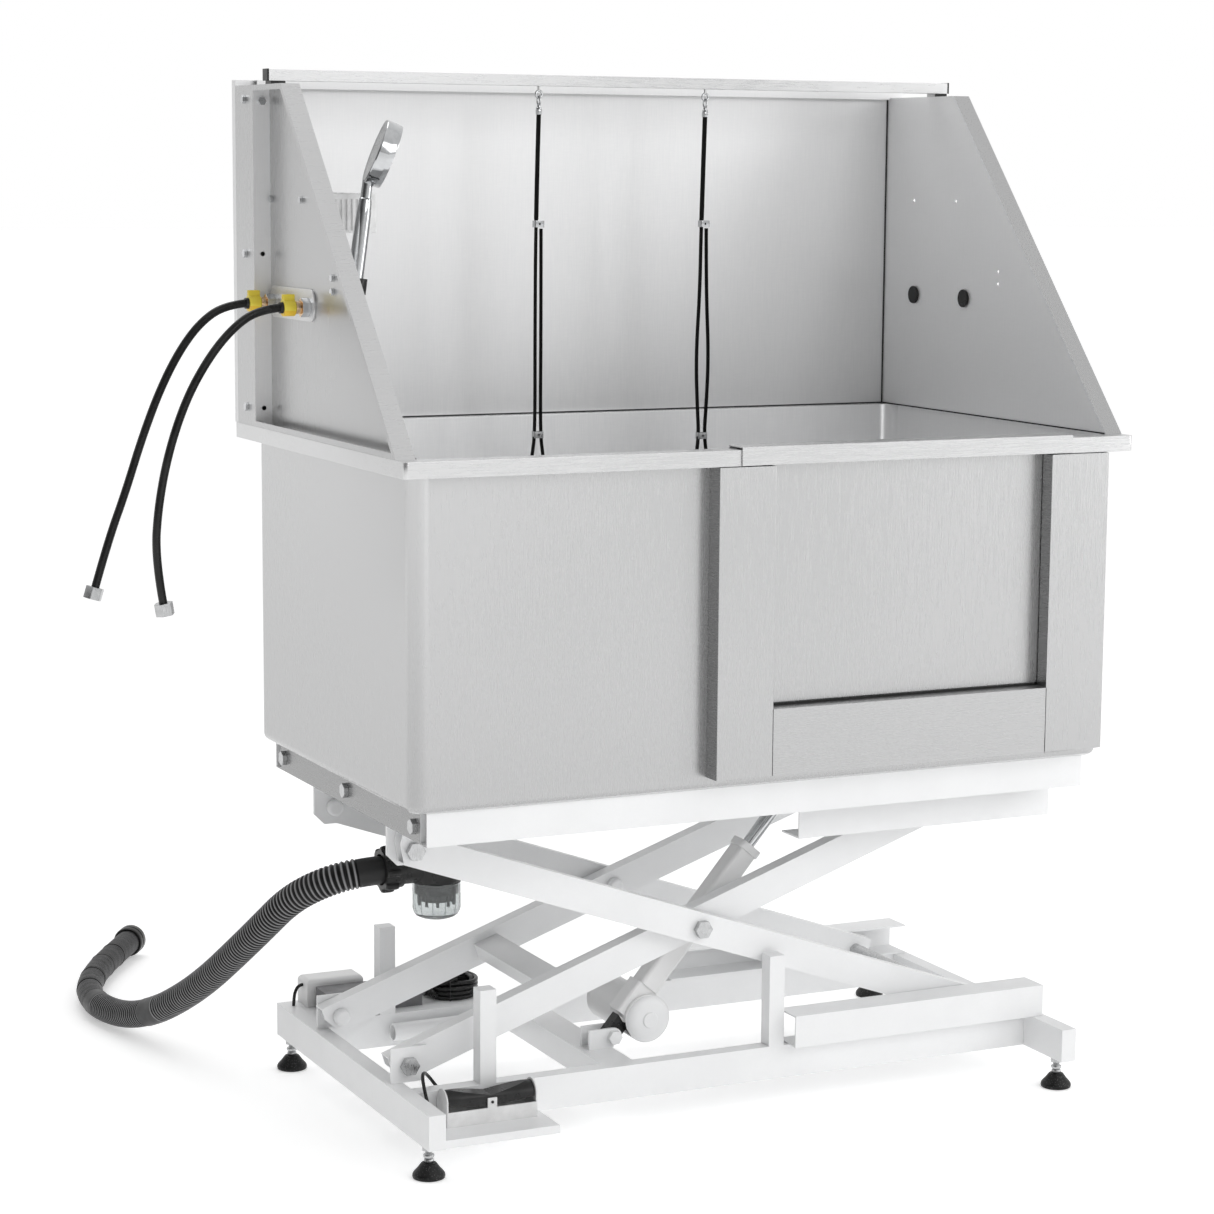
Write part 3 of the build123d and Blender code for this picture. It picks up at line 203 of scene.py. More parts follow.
def plated(name, colour, rough=(0.12, 0.3), scale=160.0):
    """Bare or plated metal: small scratches one way, blotches in the polish."""
    g = Graph(name)
    scratch = g.noise(1.0, 2.0, 0.6, g.stretched(scale * 6, scale * 6, scale))
    shade = g.mix(g.ramp(g.noise(scale, 3.0), 0.0, 1.0), times(colour, 0.86), colour)
    g.set(Base_Color=shade, Metallic=1.0, Roughness=g.ramp(scratch, *rough),
          Normal=g.bump(scratch, 0.10, 0.0003))
    return g.material


def moulded(name, colour, rough=(0.35, 0.55), specular=0.5):
    """Moulded plastic or rubber: fine spark-eroded grain and a little wear in its gloss."""
    g = Graph(name)
    lift = tuple(min(1.0, c) for c in times(colour, 1.25, 0.012))
    shade = g.mix(g.ramp(g.noise(28.0, 5.0, 0.6), 0.0, 1.0), colour, lift)
    g.set(Base_Color=shade, Roughness=g.ramp(g.noise(45.0, 4.0), *rough), Specular_IOR_Level=specular,
          Normal=g.bump(g.noise(700.0, 2.0), 0.12, 0.0004))
    return g.material


def speckled(name, colour):
    """Cast rubber with coarse bright specks, as on the feet."""
    g = Graph(name)
    cells = g.add("ShaderNodeTexVoronoi", {"Vector": g.coords, "Scale": 420.0}).outputs["Distance"]
    shade = g.mix(g.ramp(cells, 1.0, 0.0, (0.10, 0.30)), colour, (0.10, 0.10, 0.10))
    g.set(Base_Color=shade, Roughness=0.42, Specular_IOR_Level=0.3,
          Normal=g.bump(g.noise(520.0, 3.0), 0.45, 0.0008))
    return g.material


def woven(name, colour, pitch=0.0016):
    """Narrow black webbing: a chevron of ribs across the strap, pitch metres apart."""
    g = Graph(name)
    inputs = {"Vector": g.coords, "Scale": 1.0 / pitch / 3.1}
    waves = g.add("ShaderNodeTexWave", {**inputs, "Distortion": 1.2, "Detail": 1.0}, bands_direction="Z")
    ribs = g.add("ShaderNodeTexWave", inputs, bands_direction="Y")
    cloth = g.maths("MULTIPLY", waves.outputs["Fac"], ribs.outputs["Fac"])
    g.set(Base_Color=g.mix(cloth, colour, times(colour, 2.6, 0.006)), Roughness=0.85,
          Specular_IOR_Level=0.15, Normal=g.bump(cloth, 0.55, 0.0006))
    return g.material


def ribbed_hose(name, groove, crest):
    """Corrugated hose: dark between the ribs, with a painted highlight on their crests that is lighter in
    patches.
    """
    g = Graph(name)
    height = g.add("ShaderNodeAttribute", attribute_name="rib_height").outputs["Fac"]
    crest_highlight_and_wear = g.mix(g.ramp(g.noise(60.0, 4.0), 0.0, 0.6), crest, times(crest, 1.5))
    g.set(Base_Color=g.mix(g.ramp(height, 0.0, 1.0, (0.55, 1.0)), groove, crest_highlight_and_wear), Specular_IOR_Level=0.3,
          Roughness=g.ramp(g.noise(70.0, 3.0), 0.34, 0.5), Normal=g.bump(g.noise(420.0, 2.0), 0.12, 0.0004))
    return g.material


def clear(name):
    """Clear plastic, faintly cloudy and not quite even."""
    g = Graph(name)
    shade = g.mix(g.ramp(g.noise(40.0, 3.0), 0.0, 1.0), (0.74, 0.77, 0.77), (0.84, 0.86, 0.86))
    g.set(Base_Color=shade, Roughness=g.ramp(g.noise(90.0, 3.0), 0.02, 0.10), Transmission_Weight=0.92,
          IOR=1.35, Normal=g.bump(g.noise(60.0, 2.0), 0.12, 0.0006))
    return g.material


def dusted_floor(name):
    """A pale floor that glows a little, so that it fades into the backdrop."""
    g = Graph(name)
    shade = g.mix(g.ramp(g.noise(1.2, 4.0), 0.0, 1.0), (0.90, 0.90, 0.90), (0.93, 0.93, 0.93))
    g.set(Base_Color=shade, Roughness=0.7, Specular_IOR_Level=0.1, Emission_Color=(1.0, 1.0, 1.0, 1.0),
          Emission_Strength=0.36)
    return g.material


# The upright and lengthwise steel are darkened towards their foot with painted shade.
STEEL_Z = brushed("brushed_steel_upright", "Z", foot_shade=0.38)
STEEL_X = brushed("brushed_steel_lengthwise", "X", foot_shade=0.38)
STEEL_EDGE = brushed("brushed_steel_edge", "X", tone=0.64, rough=(0.24, 0.34))
# A darker copy of the brushed steel: painted shade on the splash panels' side sheets.
STEEL_PANEL_SHADE = brushed("brushed_steel_painted_shade", "Z", tone=0.50)
STEEL_INNER = brushed("brushed_steel_inner", "Z", tone=0.94, rough=(0.36, 0.46), metal=0.54)
# A much darker copy of the brushed steel: painted shade on faces turned towards the tub's left end.
STEEL_END_SHADE = brushed("bare_steel_end_painted_shade", "Y", tone=0.28)
STEEL_TRIM = brushed("brushed_steel_column", "Z", tone=0.94, rough=(0.30, 0.40), metal=0.45)
STEEL_BACK = brushed("brushed_steel_panel", "Z", tone=0.74, rough=(0.36, 0.46), metal=0.56)
PAINT = painted("white_powder_coat", (0.86, 0.865, 0.87))
PAINT_GREY = painted("light_grey_coat", (0.80, 0.80, 0.80), rough=0.42)
ZINC = plated("zinc_plate", (0.54, 0.545, 0.55), (0.22, 0.40))
CHROME = plated("polished_chrome", (0.60, 0.61, 0.62), (0.06, 0.14), 90.0)
SATIN = plated("satin_chrome", (0.30, 0.305, 0.31), (0.20, 0.32), 90.0)
BRASS = plated("brass_fitting", (0.76, 0.56, 0.36), (0.14, 0.3))
RUBBER = moulded("black_rubber", (0.006, 0.006, 0.006), (0.22, 0.36), specular=0.30)
SPECKLED = speckled("speckled_rubber", (0.004, 0.004, 0.004))
BLACK = moulded("black_plastic", (0.009, 0.009, 0.009), (0.22, 0.38), specular=0.30)
# The second colour is a painted highlight on the ribs' crests.
HOSE = ribbed_hose("hose_plastic", (0.008, 0.008, 0.008), (0.26, 0.26, 0.265))
DARK_GREY = moulded("dark_grey_plastic", (0.13, 0.13, 0.135))
LIGHT_GREY = moulded("light_grey_plastic", (0.66, 0.66, 0.66))
WHITE = moulded("white_plastic", (0.74, 0.74, 0.74), (0.2, 0.34))
YELLOW = moulded("yellow_plastic", (0.88, 0.66, 0.06), (0.3, 0.46))
ORANGE = moulded("amber_plastic", (0.84, 0.52, 0.03), (0.3, 0.46))
WEBBING = woven("black_webbing", (0.004, 0.004, 0.004))
CLEAR = clear("clear_plastic")
# Dark strips laid in the joints to stand for their shade: painted shade.
SEAM_SHADE = moulded("painted_seam_shade", (0.015, 0.015, 0.016), (0.6, 0.8))


# ---------------------------------------------------------------- CAD nodes
def finish_node(name, material, bevel, extra=(), rule=None):
    """Gives a CAD node its materials and edges as wide as bevel, in mm.

    The rule gives each face a material from its centre, in mm, and its normal.
    """
    obj = nodes[name]
    obj.data.materials.clear()
    for each in (material, *extra):
        obj.data.materials.append(each)
    if rule:
        for face in obj.data.polygons:
            face.material_index = rule(face.center / MM, face.normal)
    weld = obj.modifiers.new("weld", "WELD")
    weld.merge_threshold = 0.00002
    flatten = obj.modifiers.new("flatten", "DECIMATE")
    flatten.decimate_type = "DISSOLVE"
    flatten.angle_limit = math.radians(1.0)
    flatten.delimit = {"MATERIAL"}
    edge = obj.modifiers.new("edge", "BEVEL")
    edge.width = bevel * MM
    edge.segments = 2
    edge.limit_method = "ANGLE"
    edge.angle_limit = math.radians(38)
    edge.use_clamp_overlap = True
    edge.harden_normals = True


def pivot_rule(c, n):
    """The pivot bolts' zinc heads, and the painted bosses and lugs beside them."""
    boss = 100 < abs(c.y) < 121.6
    lug = c.x < -470 and 130 < abs(c.y) < 144.6
    return 1 if boss or lug else 0


def basin_rule(c, n):
    """Outer walls, level faces and rim, and everything that faces into the tub."""
    inward = n.x * c.x < -20 or n.y * c.y < -20
    floor = n.z > 0.5 and c.z < 900
    if c.z < RIM_FOOT and (inward or floor):
        return 2
    return 1 if abs(n.z) > 0.7 or c.z > RIM_FOOT else 0


def door_frame_rule(c, n):
    """Upright posts, level faces and sill, and the sides of the posts towards the tub's left end, which take
    a darker steel as painted shade.
    """
    if n.x < -0.7:
        return 2
    sill = c.z < SILL_TOP + 1 and DOOR_SIDES[0] + 1 < c.x < DOOR_SIDES[1] - 1
    return 1 if sill or abs(n.z) > 0.7 else 0


def panel_rule(c, n):
    """The sheet itself, its sloped and level flanges, and its upright back column."""
    if abs(n.x) > 0.5:
        return 0
    return 2 if abs(n.y) > 0.97 else 1


def rail_rule(c, n):
    """The steel rail, its black end caps and feet, and the chrome eyes under it."""
    if abs(c.x) > 568 or (abs(c.x) > 545 and c.z < 1500):
        return 1
    return 2 if c.z < 1490 else 0


def inlet_rule(c, n):
    """Along each inlet: the cover plate, a chrome nut, the brass body and the hose's sleeve."""
    for slot, back in ((3, -548.6), (0, -560.4), (1, -568.6)):
        if c.x > back:
            return slot
    return 2


def finish_cad_nodes():
    for name in ("base_frame", "inner_arms", "outer_arms"):
        finish_node(name, PAINT, 1.2)
    # The top frame's end towards the tub's left end is bare steel, darkened further with painted shade.
    finish_node("top_frame", PAINT, 1.2, (STEEL_END_SHADE,),
                lambda c, n: 1 if n.x < -0.9 and c.x < -524.9 else 0)
    for name in ("lower_channels", "upper_channels"):
        finish_node(name, PAINT, 0.6)
    for name in ("foot_lock_nuts", "supply_nuts"):
        finish_node(name, ZINC, 0.4)
    finish_node("platform_bolts", ZINC, 0.4, (CHROME,), lambda c, n: 1 if c.z > 1000 else 0)
    for name in ("base_pivot_bolts", "outer_arm_bolts"):
        finish_node(name, ZINC, 0.4, (PAINT,), pivot_rule)
    for name in ("lower_axle", "upper_axle"):
        finish_node(name, ZINC, 0.5)
    for name in ("lower_rollers", "upper_rollers"):
        finish_node(name, BLACK, 0.6)
    finish_node("pedal_base", LIGHT_GREY, 0.8)
    finish_node("control_box", DARK_GREY, 1.5)
    finish_node("power_unit", PAINT_GREY, 1.0)
    finish_node("mains_plug", BLACK, 0.8, (BRASS,), lambda c, n: 1 if c.x < -285 else 0)
    finish_node("gear_housing", PAINT_GREY, 0.8, (BLACK,),
                lambda c, n: 1 if math.hypot(c.x + 146, c.z - 108) < 26 else 0)
    finish_node("actuator_tube", PAINT_GREY, 0.6)
    finish_node("actuator_rod", CHROME, 0.4)
    finish_node("tub_basin", STEEL_Z, 0.8, (STEEL_EDGE, STEEL_INNER), basin_rule)
    finish_node("drain_strainer", STEEL_EDGE, 0.3)
    finish_node("door_frame", STEEL_Z, 0.9, (STEEL_X, STEEL_END_SHADE), door_frame_rule)
    finish_node("door_seal", RUBBER, 0.3)
    finish_node("door_panel", STEEL_Z, 0.6, (STEEL_EDGE,), lambda c, n: 1 if c.z > 975 else 0)
    # Painted shade: the darker steel covers the left panel's sheet and the right panel's outward face.
    finish_node("left_panel", STEEL_PANEL_SHADE, 0.5, (STEEL_EDGE, STEEL_TRIM), panel_rule)
    finish_node("right_panel", STEEL_INNER, 0.5, (STEEL_PANEL_SHADE, STEEL_TRIM),
                lambda c, n: 1 if n.x > 0.5 else panel_rule(c, n))
    finish_node("back_panel", STEEL_BACK, 0.5, (STEEL_EDGE,), lambda c, n: 1 if abs(n.z) > 0.7 else 0)
    finish_node("top_rail", STEEL_X, 0.5, (BLACK, CHROME), rail_rule)
    finish_node("hole_plugs", RUBBER, 0.8)
    finish_node("hair_trap_body", BLACK, 0.6)
    finish_node("mixer_body", CHROME, 0.8)
    finish_node("mixer_lever", CHROME, 1.0)
    finish_node("inlet_fittings", CHROME, 0.4, (BRASS, RUBBER, STEEL_EDGE), inlet_rule)
    finish_node("hose_clips", YELLOW, 0.4, (ORANGE,), lambda c, n: 1 if c.z < 1172 else 0)
    finish_node("shower_holder", BLACK, 0.8)
    finish_node("shower_caddy", WHITE, 0.6, (DARK_GREY,),
                lambda c, n: 1 if n.z > 0.9 and c.z > 1350 else 0)
    finish_node("pedal_rocker", BLACK, 1.0)


# ---------------------------------------------------------------- routes and cords
DRAIN_HOSE = [(-452, 0, 369), (-502, 3, 368), (-550, 26, 353), (-587, 72, 320), (-607, 140, 264),
              (-622, 222, 206), (-635, 308, 149), (-650, 392, 100), (-669, 476, 58), (-692, 560, 31),
              (-711, 655, 24.5), (-700, 760, 23.8), (-656, 862, 23.8), (-601, 952, 25.6), (-540, 1040, 28.6)]
SUPPLY_FRONT = [(-592, 82, 1176), (-624, 82, 1173), (-660, 81, 1150), (-696, 80, 1110), (-731, 79, 1052),
                (-758, 79, 978), (-774, 80, 900), (-779, 81, 828), (-768, 82, 764)]
SUPPLY_BACK = [(-592, 233, 1176), (-624, 233, 1173), (-660, 234, 1149), (-692, 235, 1108), (-722, 235, 1052),
               (-750, 234, 983), (-776, 233, 906), (-803, 233, 836), (-823, 233, 770)]
PEDAL_CABLE = [(-472, -229, 66), (-484, -229, 67), (-491, -225, 83), (-492, -213, 103), (-488, -195, 117),
               (-478, -178, 117), (-466, -169, 105), (-455, -168, 90), (-446, -173, 80), (-441, -182, 76)]
POWER_CABLE = [(-492, 286, 129), (-499, 286, 128), (-504.5, 286, 119), (-506.5, 286, 108), (-507, 286, 97)]
LOOP_LEFT = [(-140, 196, 1455), (-144.4, 196, 1290), (-144.8, 196, 1130), (-144.4, 196, 975),
             (-149, 196, 942), (-152, 196, 916), (-147, 196, 896), (-133, 196, 896), (-128, 196, 916),
             (-131, 196, 942), (-135.6, 196, 975), (-135, 196, 1130), (-135.6, 196, 1284)]
LOOP_RIGHT = [(140, 196, 1455), (135.6, 196, 1290), (134.6, 196, 1190), (129, 196, 1088), (132, 196, 1012),
              (135.4, 196, 965), (130.5, 196, 925), (134, 196, 900), (147, 196, 900), (150.5, 196, 925),
              (144.6, 196, 965), (148, 196, 1012), (151, 196, 1088), (145.4, 196, 1190), (144.4, 196, 1284)]


def nurbs(name, route, radius=0.0, resolution=16):
    """A NURBS curve whose control points are the route's, given in millimetres."""
    data = bpy.data.curves.new(name, "CURVE")
    data.dimensions = "3D"
    data.resolution_u = resolution
    data.bevel_depth = radius * MM
    data.bevel_resolution = 5
    data.use_fill_caps = radius > 0
    spline = data.splines.new("NURBS")
    spline.points.add(len(route) - 1)
    for point, place in zip(spline.points, route):
        point.co = (*(v * MM for v in place), 1.0)
    spline.order_u = 3
    spline.use_endpoint_u = True
    return place_object(name, data)


def centreline(route, spacing):
    """Evenly spaced points along a route's NURBS curve, and its length, in metres."""
    guide = nurbs("guide", route, 0.0, 32)
    bpy.context.view_layer.update()
    mesh = bpy.data.meshes.new_from_object(guide)
    line = [v.co.copy() for v in mesh.vertices]
    bpy.data.objects.remove(guide)
    bpy.data.meshes.remove(mesh)
    reach = [0.0]
    for a, b in zip(line, line[1:]):
        reach.append(reach[-1] + (b - a).length)
    count = max(2, round(reach[-1] / spacing))
    points, at = [], 0
    for step in range(count + 1):
        want = reach[-1] * step / count
        while at < len(line) - 2 and reach[at + 1] < want:
            at += 1
        span = reach[at + 1] - reach[at]
        points.append(line[at].lerp(line[at + 1], (want - reach[at]) / span if span else 0.0))
    return points, reach[-1]


def frames_along(points, side):
    """At each point, the point, the forward direction and two across it, carried without twist from side."""
    out = []
    across = Vector(side)
    for i, point in enumerate(points):
        forward = (points[min(i + 1, len(points) - 1)] - points[max(i - 1, 0)]).normalized()
        across = (across - forward * across.dot(forward)).normalized()
        out.append((point, forward, across, forward.cross(across)))
    return out


def mesh_object(name, verts, faces, material, smooth=True):
    mesh = bpy.data.meshes.new(name)
    mesh.from_pydata([tuple(v) for v in verts], [], faces)
    mesh.update()
    if smooth:
        outward = bmesh.new()
        outward.from_mesh(mesh)
        bmesh.ops.recalc_face_normals(outward, faces=outward.faces)
        outward.to_mesh(mesh)
        outward.free()
        shade_smooth(mesh)
    mesh.materials.append(material)
    return place_object(name, mesh)


def skin(name, rings, material, closed_ends=True):
    """A skin over rings of equal point counts, with or without a face over each end."""
    count = len(rings[0])
    verts = [v for ring in rings for v in ring]
    faces = []
    for r in range(len(rings) - 1):
        for k in range(count):
            a, b = r * count + k, r * count + (k + 1) % count
            faces.append((a, b, b + count, a + count))
    if closed_ends:
        faces.append(tuple(reversed(range(count))))
        faces.append(tuple(range((len(rings) - 1) * count, len(rings) * count)))
    return mesh_object(name, verts, faces, material)


def settle(obj, body, slot, *nodes_replaced):
    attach(obj, body)
    if nodes_replaced:
        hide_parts(*nodes_replaced)
    return obj


def hose_section(s, length):
    """The drain hose's radius in mm at s metres from the trap, and how near that is to a rib's crest."""
    def ribs(pitch, depth, base):
        phase = (s / (pitch * MM)) % 1.0
        crest = 0.5 + 0.5 * math.cos(2 * math.pi * phase)
        return base - depth + depth * crest ** 0.7, crest

    share = s / length
    if s < 0.055:
        return 20.8, 0.57
    if share < 0.50:
        return ribs(7.4, 3.2, 22.4)
    if share < 0.535:
        return 22.4, 0.6
    if share < 0.66:
        return ribs(6.0, 2.2, 21.7)
    if share < 0.685:
        return 21.6, 0.6
    joints = (0.745, 0.80, 0.865, 0.915)
    near = min(abs(share - j) for j in joints) * length / MM
    if near < 1.6:
        return 21.6, 0.5
    radius, crest = ribs(4.2, 0.7, 21.0 if near > 7.0 else 20.6)
    return radius, 0.52 + 0.2 * crest


def drain_hose():
    """The ribbed hose and the collar on its free end, both attached to the platform."""
    sides = 40
    points, length = centreline(DRAIN_HOSE, 0.0010)
    rings, crests = [], []
    for i, (place, _, a, b) in enumerate(frames_along(points, (0, 0, 1))):
        radius, crest = hose_section(length * i / (len(points) - 1), length)
        crests += [crest] * sides
        rings.append([place + (a * math.cos(t) + b * math.sin(t)) * radius * MM for t in around(sides)])
    hose = skin("drain_hose_skin", rings, HOSE)
    # The rib height puts the hose material's painted highlight on the crests.
    hose.data.attributes.new("rib_height", "FLOAT", "POINT").data.foreach_set("value", crests)
    settle(hose, "platform", "black_plastic", "drain_hose")
    end, backward = points[-1], (points[-5] - points[-1]).normalized()
    placed = Matrix.Translation(end / MM) @ backward.to_track_quat("Z", "Y").to_matrix().to_4x4()
    profile = [(22.7, 26), (24.2, 26), (25.2, 24.6), (25.4, 23), (25.4, 16), (24.4, 15), (24.4, 12.6),
               (25.4, 11.6), (25.4, 2), (24.8, 0.5), (23.6, 0), (19.4, 0), (19, 0.6), (19, 8), (22.7, 8),
               (22.7, 26)]
    collar = lathe("hose_end_collar", profile, BLACK, placed)
    settle(collar, "platform", "black_plastic", "drain_hose_cuff")
    path, _ = centreline(DRAIN_HOSE, 0.008)
    for piece in (hose, collar):
        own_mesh(piece)


def round_cord(name, route, diameter, body, node, **facts):
    """A plain rubber cord of this diameter in millimetres."""
    _, length = centreline(route, 0.002)
    cord = nurbs(name, route, diameter / 2)
    cord.data.materials.append(RUBBER)
    settle(cord, body, "black_rubber", node)


def strap(name, route, body, node):
    """A grooming loop's flat webbing, its width along Y, and thicker where it is doubled above the slider."""
    def rounded(value, power):
        return math.copysign(abs(value) ** power, value)

    points, length = centreline(route, 0.003)
    wide = Vector((0, 1, 0))
    rings = []
    for place, forward, _, _ in frames_along(points, (0, 1, 0)):
        thick = forward.cross(wide).normalized()
        depth = 2.6 if place.z > 1.296 else 1.5
        rings.append([place + wide * (4.6 * MM * rounded(math.cos(t), 0.5))
                      + thick * (depth * MM * rounded(math.sin(t), 0.7)) for t in around(16)])
    band = skin(name, rings, WEBBING)
    settle(band, body, "webbing", node)
    path, _ = centreline(route, 0.006)


def mains_lead_route():
    """Out of the control box, round eight rows of turns with a step between each, and up to the plug."""
    def round_coil(radius, turn, z):
        return (COIL_X + radius * math.cos(turn), COIL_Y + radius * math.sin(turn), z)

    route = [(-316, 224, 113), (-308, 223.5, 112), (-299, 222, 108)]
    rows = [(42.6, 100.7), (35.3, 100.7), (35.3, 107.7), (42.6, 107.7), (42.6, 114.7), (35.3, 114.7),
            (35.3, 121.4), (42.6, 121.4)]
    step, per_row = 20, 16
    angle = 222
    for i, (radius, z) in enumerate(rows):
        last = i == len(rows) - 1
        for _ in range(per_row - 1 if last else per_row):
            route.append(round_coil(radius, math.radians(angle), z))
            angle += step
    turn = math.radians(angle)
    return route + [round_coil(40, turn, 124.5), round_coil(34, turn + 0.45, 130.5)]


# ---------------------------------------------------------------- detailed pieces
def lathe(name, profile, material, axis, sides=64):
    """Revolves (radius, height) pairs in millimetres round the axis's Z; a closed profile makes a ring."""
    rings = [[axis @ Vector((radius * math.cos(t), radius * math.sin(t), height)) * MM for t in around(sides)]
             for radius, height in profile]
    return skin(name, rings, material, closed_ends=profile[0] != profile[-1])


def join(name, parts):
    """One new object from several mesh objects, each face keeping its material."""
    merged = bmesh.new()
    materials = []
    for part in parts:
        first = len(merged.faces)
        merged.from_mesh(part.data)
        merged.faces.ensure_lookup_table()
        material = part.data.materials[0]
        if material not in materials:
            materials.append(material)
        for face in merged.faces[first:]:
            face.material_index = materials.index(material)
        bpy.data.objects.remove(part)
    mesh = bpy.data.meshes.new(name)
    merged.to_mesh(mesh)
    merged.free()
    shade_smooth(mesh)
    for material in materials:
        mesh.materials.append(material)
    return place_object(name, mesh)


def bevelled_box(name, low, high, material, width=0.5):
    """A box between two corners, in millimetres, with rounded edges."""
    mesh = bpy.data.meshes.new(name)
    shape = bmesh.new()
    bmesh.ops.create_cube(shape, size=1.0)
    for vertex in shape.verts:
        place = [(a + b) / 2 + share * (b - a) for a, b, share in zip(low, high, vertex.co)]
        vertex.co = Vector(place) * MM
    bmesh.ops.bevel(shape, geom=list(shape.edges), offset=width * MM, segments=3, profile=0.6, affect="EDGES")
    shape.to_mesh(mesh)
    shape.free()
    mesh.materials.append(material)
    return place_object(name, mesh)


def wire(name, points, radius, material, closed=False):
    """A bent wire through points in millimetres, as a mesh."""
    guide = nurbs("bend", points, radius, 8)
    guide.data.splines[0].use_cyclic_u = closed
    guide.data.splines[0].use_endpoint_u = not closed
    bpy.context.view_layer.update()
    mesh = bpy.data.meshes.new_from_object(guide)
    mesh.name = name
    bpy.data.objects.remove(guide)
    mesh.materials.clear()
    mesh.materials.append(material)
    shade_smooth(mesh, math.radians(40))
    return place_object(name, mesh)


def hand_shower():
    """Chrome handle and neck with a round head: stepped back, wide rim and rubber nozzles on its face."""
    stand = (Matrix.Translation((-513, -10, 1210)) @ Matrix.Rotation(math.radians(8), 4, "Y")
             @ Matrix.Rotation(math.radians(-14), 4, "Z"))
    handle = lathe("shower_handle", [(7.4, -40), (8, -39), (8, -30), (9.2, -29), (10.2, -27), (10.8, -20),
                                     (11, 20), (11, 60), (10.6, 100), (9.6, 116), (8.9, 120), (8.9, 121),
                                     (7.6, 122.5), (7.5, 138), (7.5, 147)], CHROME, stand)
    tilt = stand @ Matrix.Translation((16, 0, 186)) @ Matrix.Rotation(math.radians(104), 4, "Y")
    head = lathe("shower_head", [(44.2, -9.4), (44.4, -11.2), (46.2, -11.2), (47, -10), (47, -4), (46.6, 3),
                                 (46.2, 10.6), (45.6, 11.8), (44.8, 12), (44.0, 11.2), (43.4, 10.4)],
                 CHROME, tilt, 96)
    back = lathe("shower_back", [(20, -10.3), (36, -10.9), (44.2, -11.9), (45.2, -12), (45.8, -11.6),
                                 (45.8, -11.2)], SATIN, tilt, 96)
    face = lathe("shower_face", [(43, 9.6), (43, 10.8), (42.4, 11.1)], WHITE, tilt, 96)
    parts = [handle, head, back, face]
    for ring, count in ((10, 6), (20, 12), (30, 18), (38, 24)):
        for turn in around(count):
            spot = tilt @ Matrix.Translation((ring * math.cos(turn), ring * math.sin(turn), 0))
            parts.append(lathe("nozzle", [(1.5, 10.9), (1.2, 12.4), (0.8, 12.9)], RUBBER, spot, 10))
    settle(join("shower_body", parts), "hand_shower", "chrome", "hand_shower")


def trap_bowl():
    """Clear ribbed bowl: rounded foot, thick rim and upright grip ribs."""
    at = Matrix.Translation((DRAIN_X, 0, 0))
    profile = [(12, 291), (22, 291.6), (29, 294.6), (33.6, 299.6), (35.4, 306), (35.6, 330), (36, 331),
               (36, 344.4), (33.2, 344.4), (33, 330), (32.8, 308), (30, 300), (24, 296), (12, 294.4)]
    parts = [lathe("bowl", profile, CLEAR, at, 80)]
    for turn in around(12):
        points = [(DRAIN_X + radius * math.cos(turn), radius * math.sin(turn), z)
                  for radius, z in ((30, 295.6), (35.2, 303), (35.2, 312), (35.2, 328))]
        parts.append(wire("rib", points, 0.8, CLEAR))
    settle(join("trap_bowl", parts), "hair_trap_bowl", "clear_plastic", "hair_trap_bowl")


def trap_thread():
    """The black threaded collar that the bowl screws onto, and the lugs of the hair basket under it."""
    at = Matrix.Translation((DRAIN_X, 0, 0))
    profile = [(23, 344.6), (31.6, 344.6)]
    for turn in range(5):
        top = 343.4 - 3.0 * turn
        profile += [(32.4, top), (32.4, top - 1.1), (30.8, top - 1.6), (30.8, top - 2.6)]
    profile += [(30.2, 328), (24.6, 327.4), (24.6, 318), (23.4, 317.2), (23, 317), (23, 344.6)]
    parts = [lathe("collar", profile, BLACK, at, 72)]
    for turn in around(10):
        x, y = DRAIN_X + 26.2 * math.cos(turn), 26.2 * math.sin(turn)
        parts.append(bevelled_box("lug", (x - 1.8, y - 1.8, 311), (x + 1.8, y + 1.8, 328.4), BLACK))
    settle(join("trap_collar", parts), "platform", "black_plastic")


def feet():
    """Four levelling feet: a flared rubber pad, a ball joint and a threaded stem."""
    pad_profile = [(20.6, 0.1), (22.4, 0.9), (22.9, 3.4), (22.6, 6), (21, 8.6), (15.6, 14.6), (12.4, 19),
                   (10.6, 21.2), (8, 22.2)]
    stem_profile = [(4.6, 21.8), (6.6, 23), (7.2, 25), (6.6, 27), (4.8, 28.2), (4.8, 29.4), (7.6, 29.6),
                    (7.9, 30.2), (7.9, 32.6), (7.6, 33.2), (5.0, 33.4)]
    for turn in range(4):
        stem_profile += [(4.95, 34 + 1.3 * turn), (4.45, 34.65 + 1.3 * turn)]
    stem_profile += [(4.9, 39.4), (4.9, 86)]
    for end in ("front_left", "front_right", "back_left", "back_right"):
        low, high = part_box(f"foot_{end}")
        at = Matrix.Translation(((low[0] + high[0]) / 2 / MM, (low[1] + high[1]) / 2 / MM, 0))
        pad = lathe("pad", pad_profile, SPECKLED, at, 48)
        stem = lathe("stem", stem_profile, ZINC, at, 32)
        settle(join(f"foot_{end}_pad", [pad, stem]), f"foot_{end}", "black_rubber", f"foot_{end}")


def door_seams():
    """Dark strips of painted shade in the joints between the door frame's posts and its sill."""
    low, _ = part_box("door_frame")
    front = low[1] / MM
    seams = [bevelled_box("seam", (x - 0.5, front - 0.12, SILL_FOOT), (x + 0.5, front + 0.3, SILL_TOP - 0.4),
                          SEAM_SHADE, 0.1) for x in DOOR_SIDES]
    settle(join("door_frame_seam_shade", seams), "platform", "black_rubber")


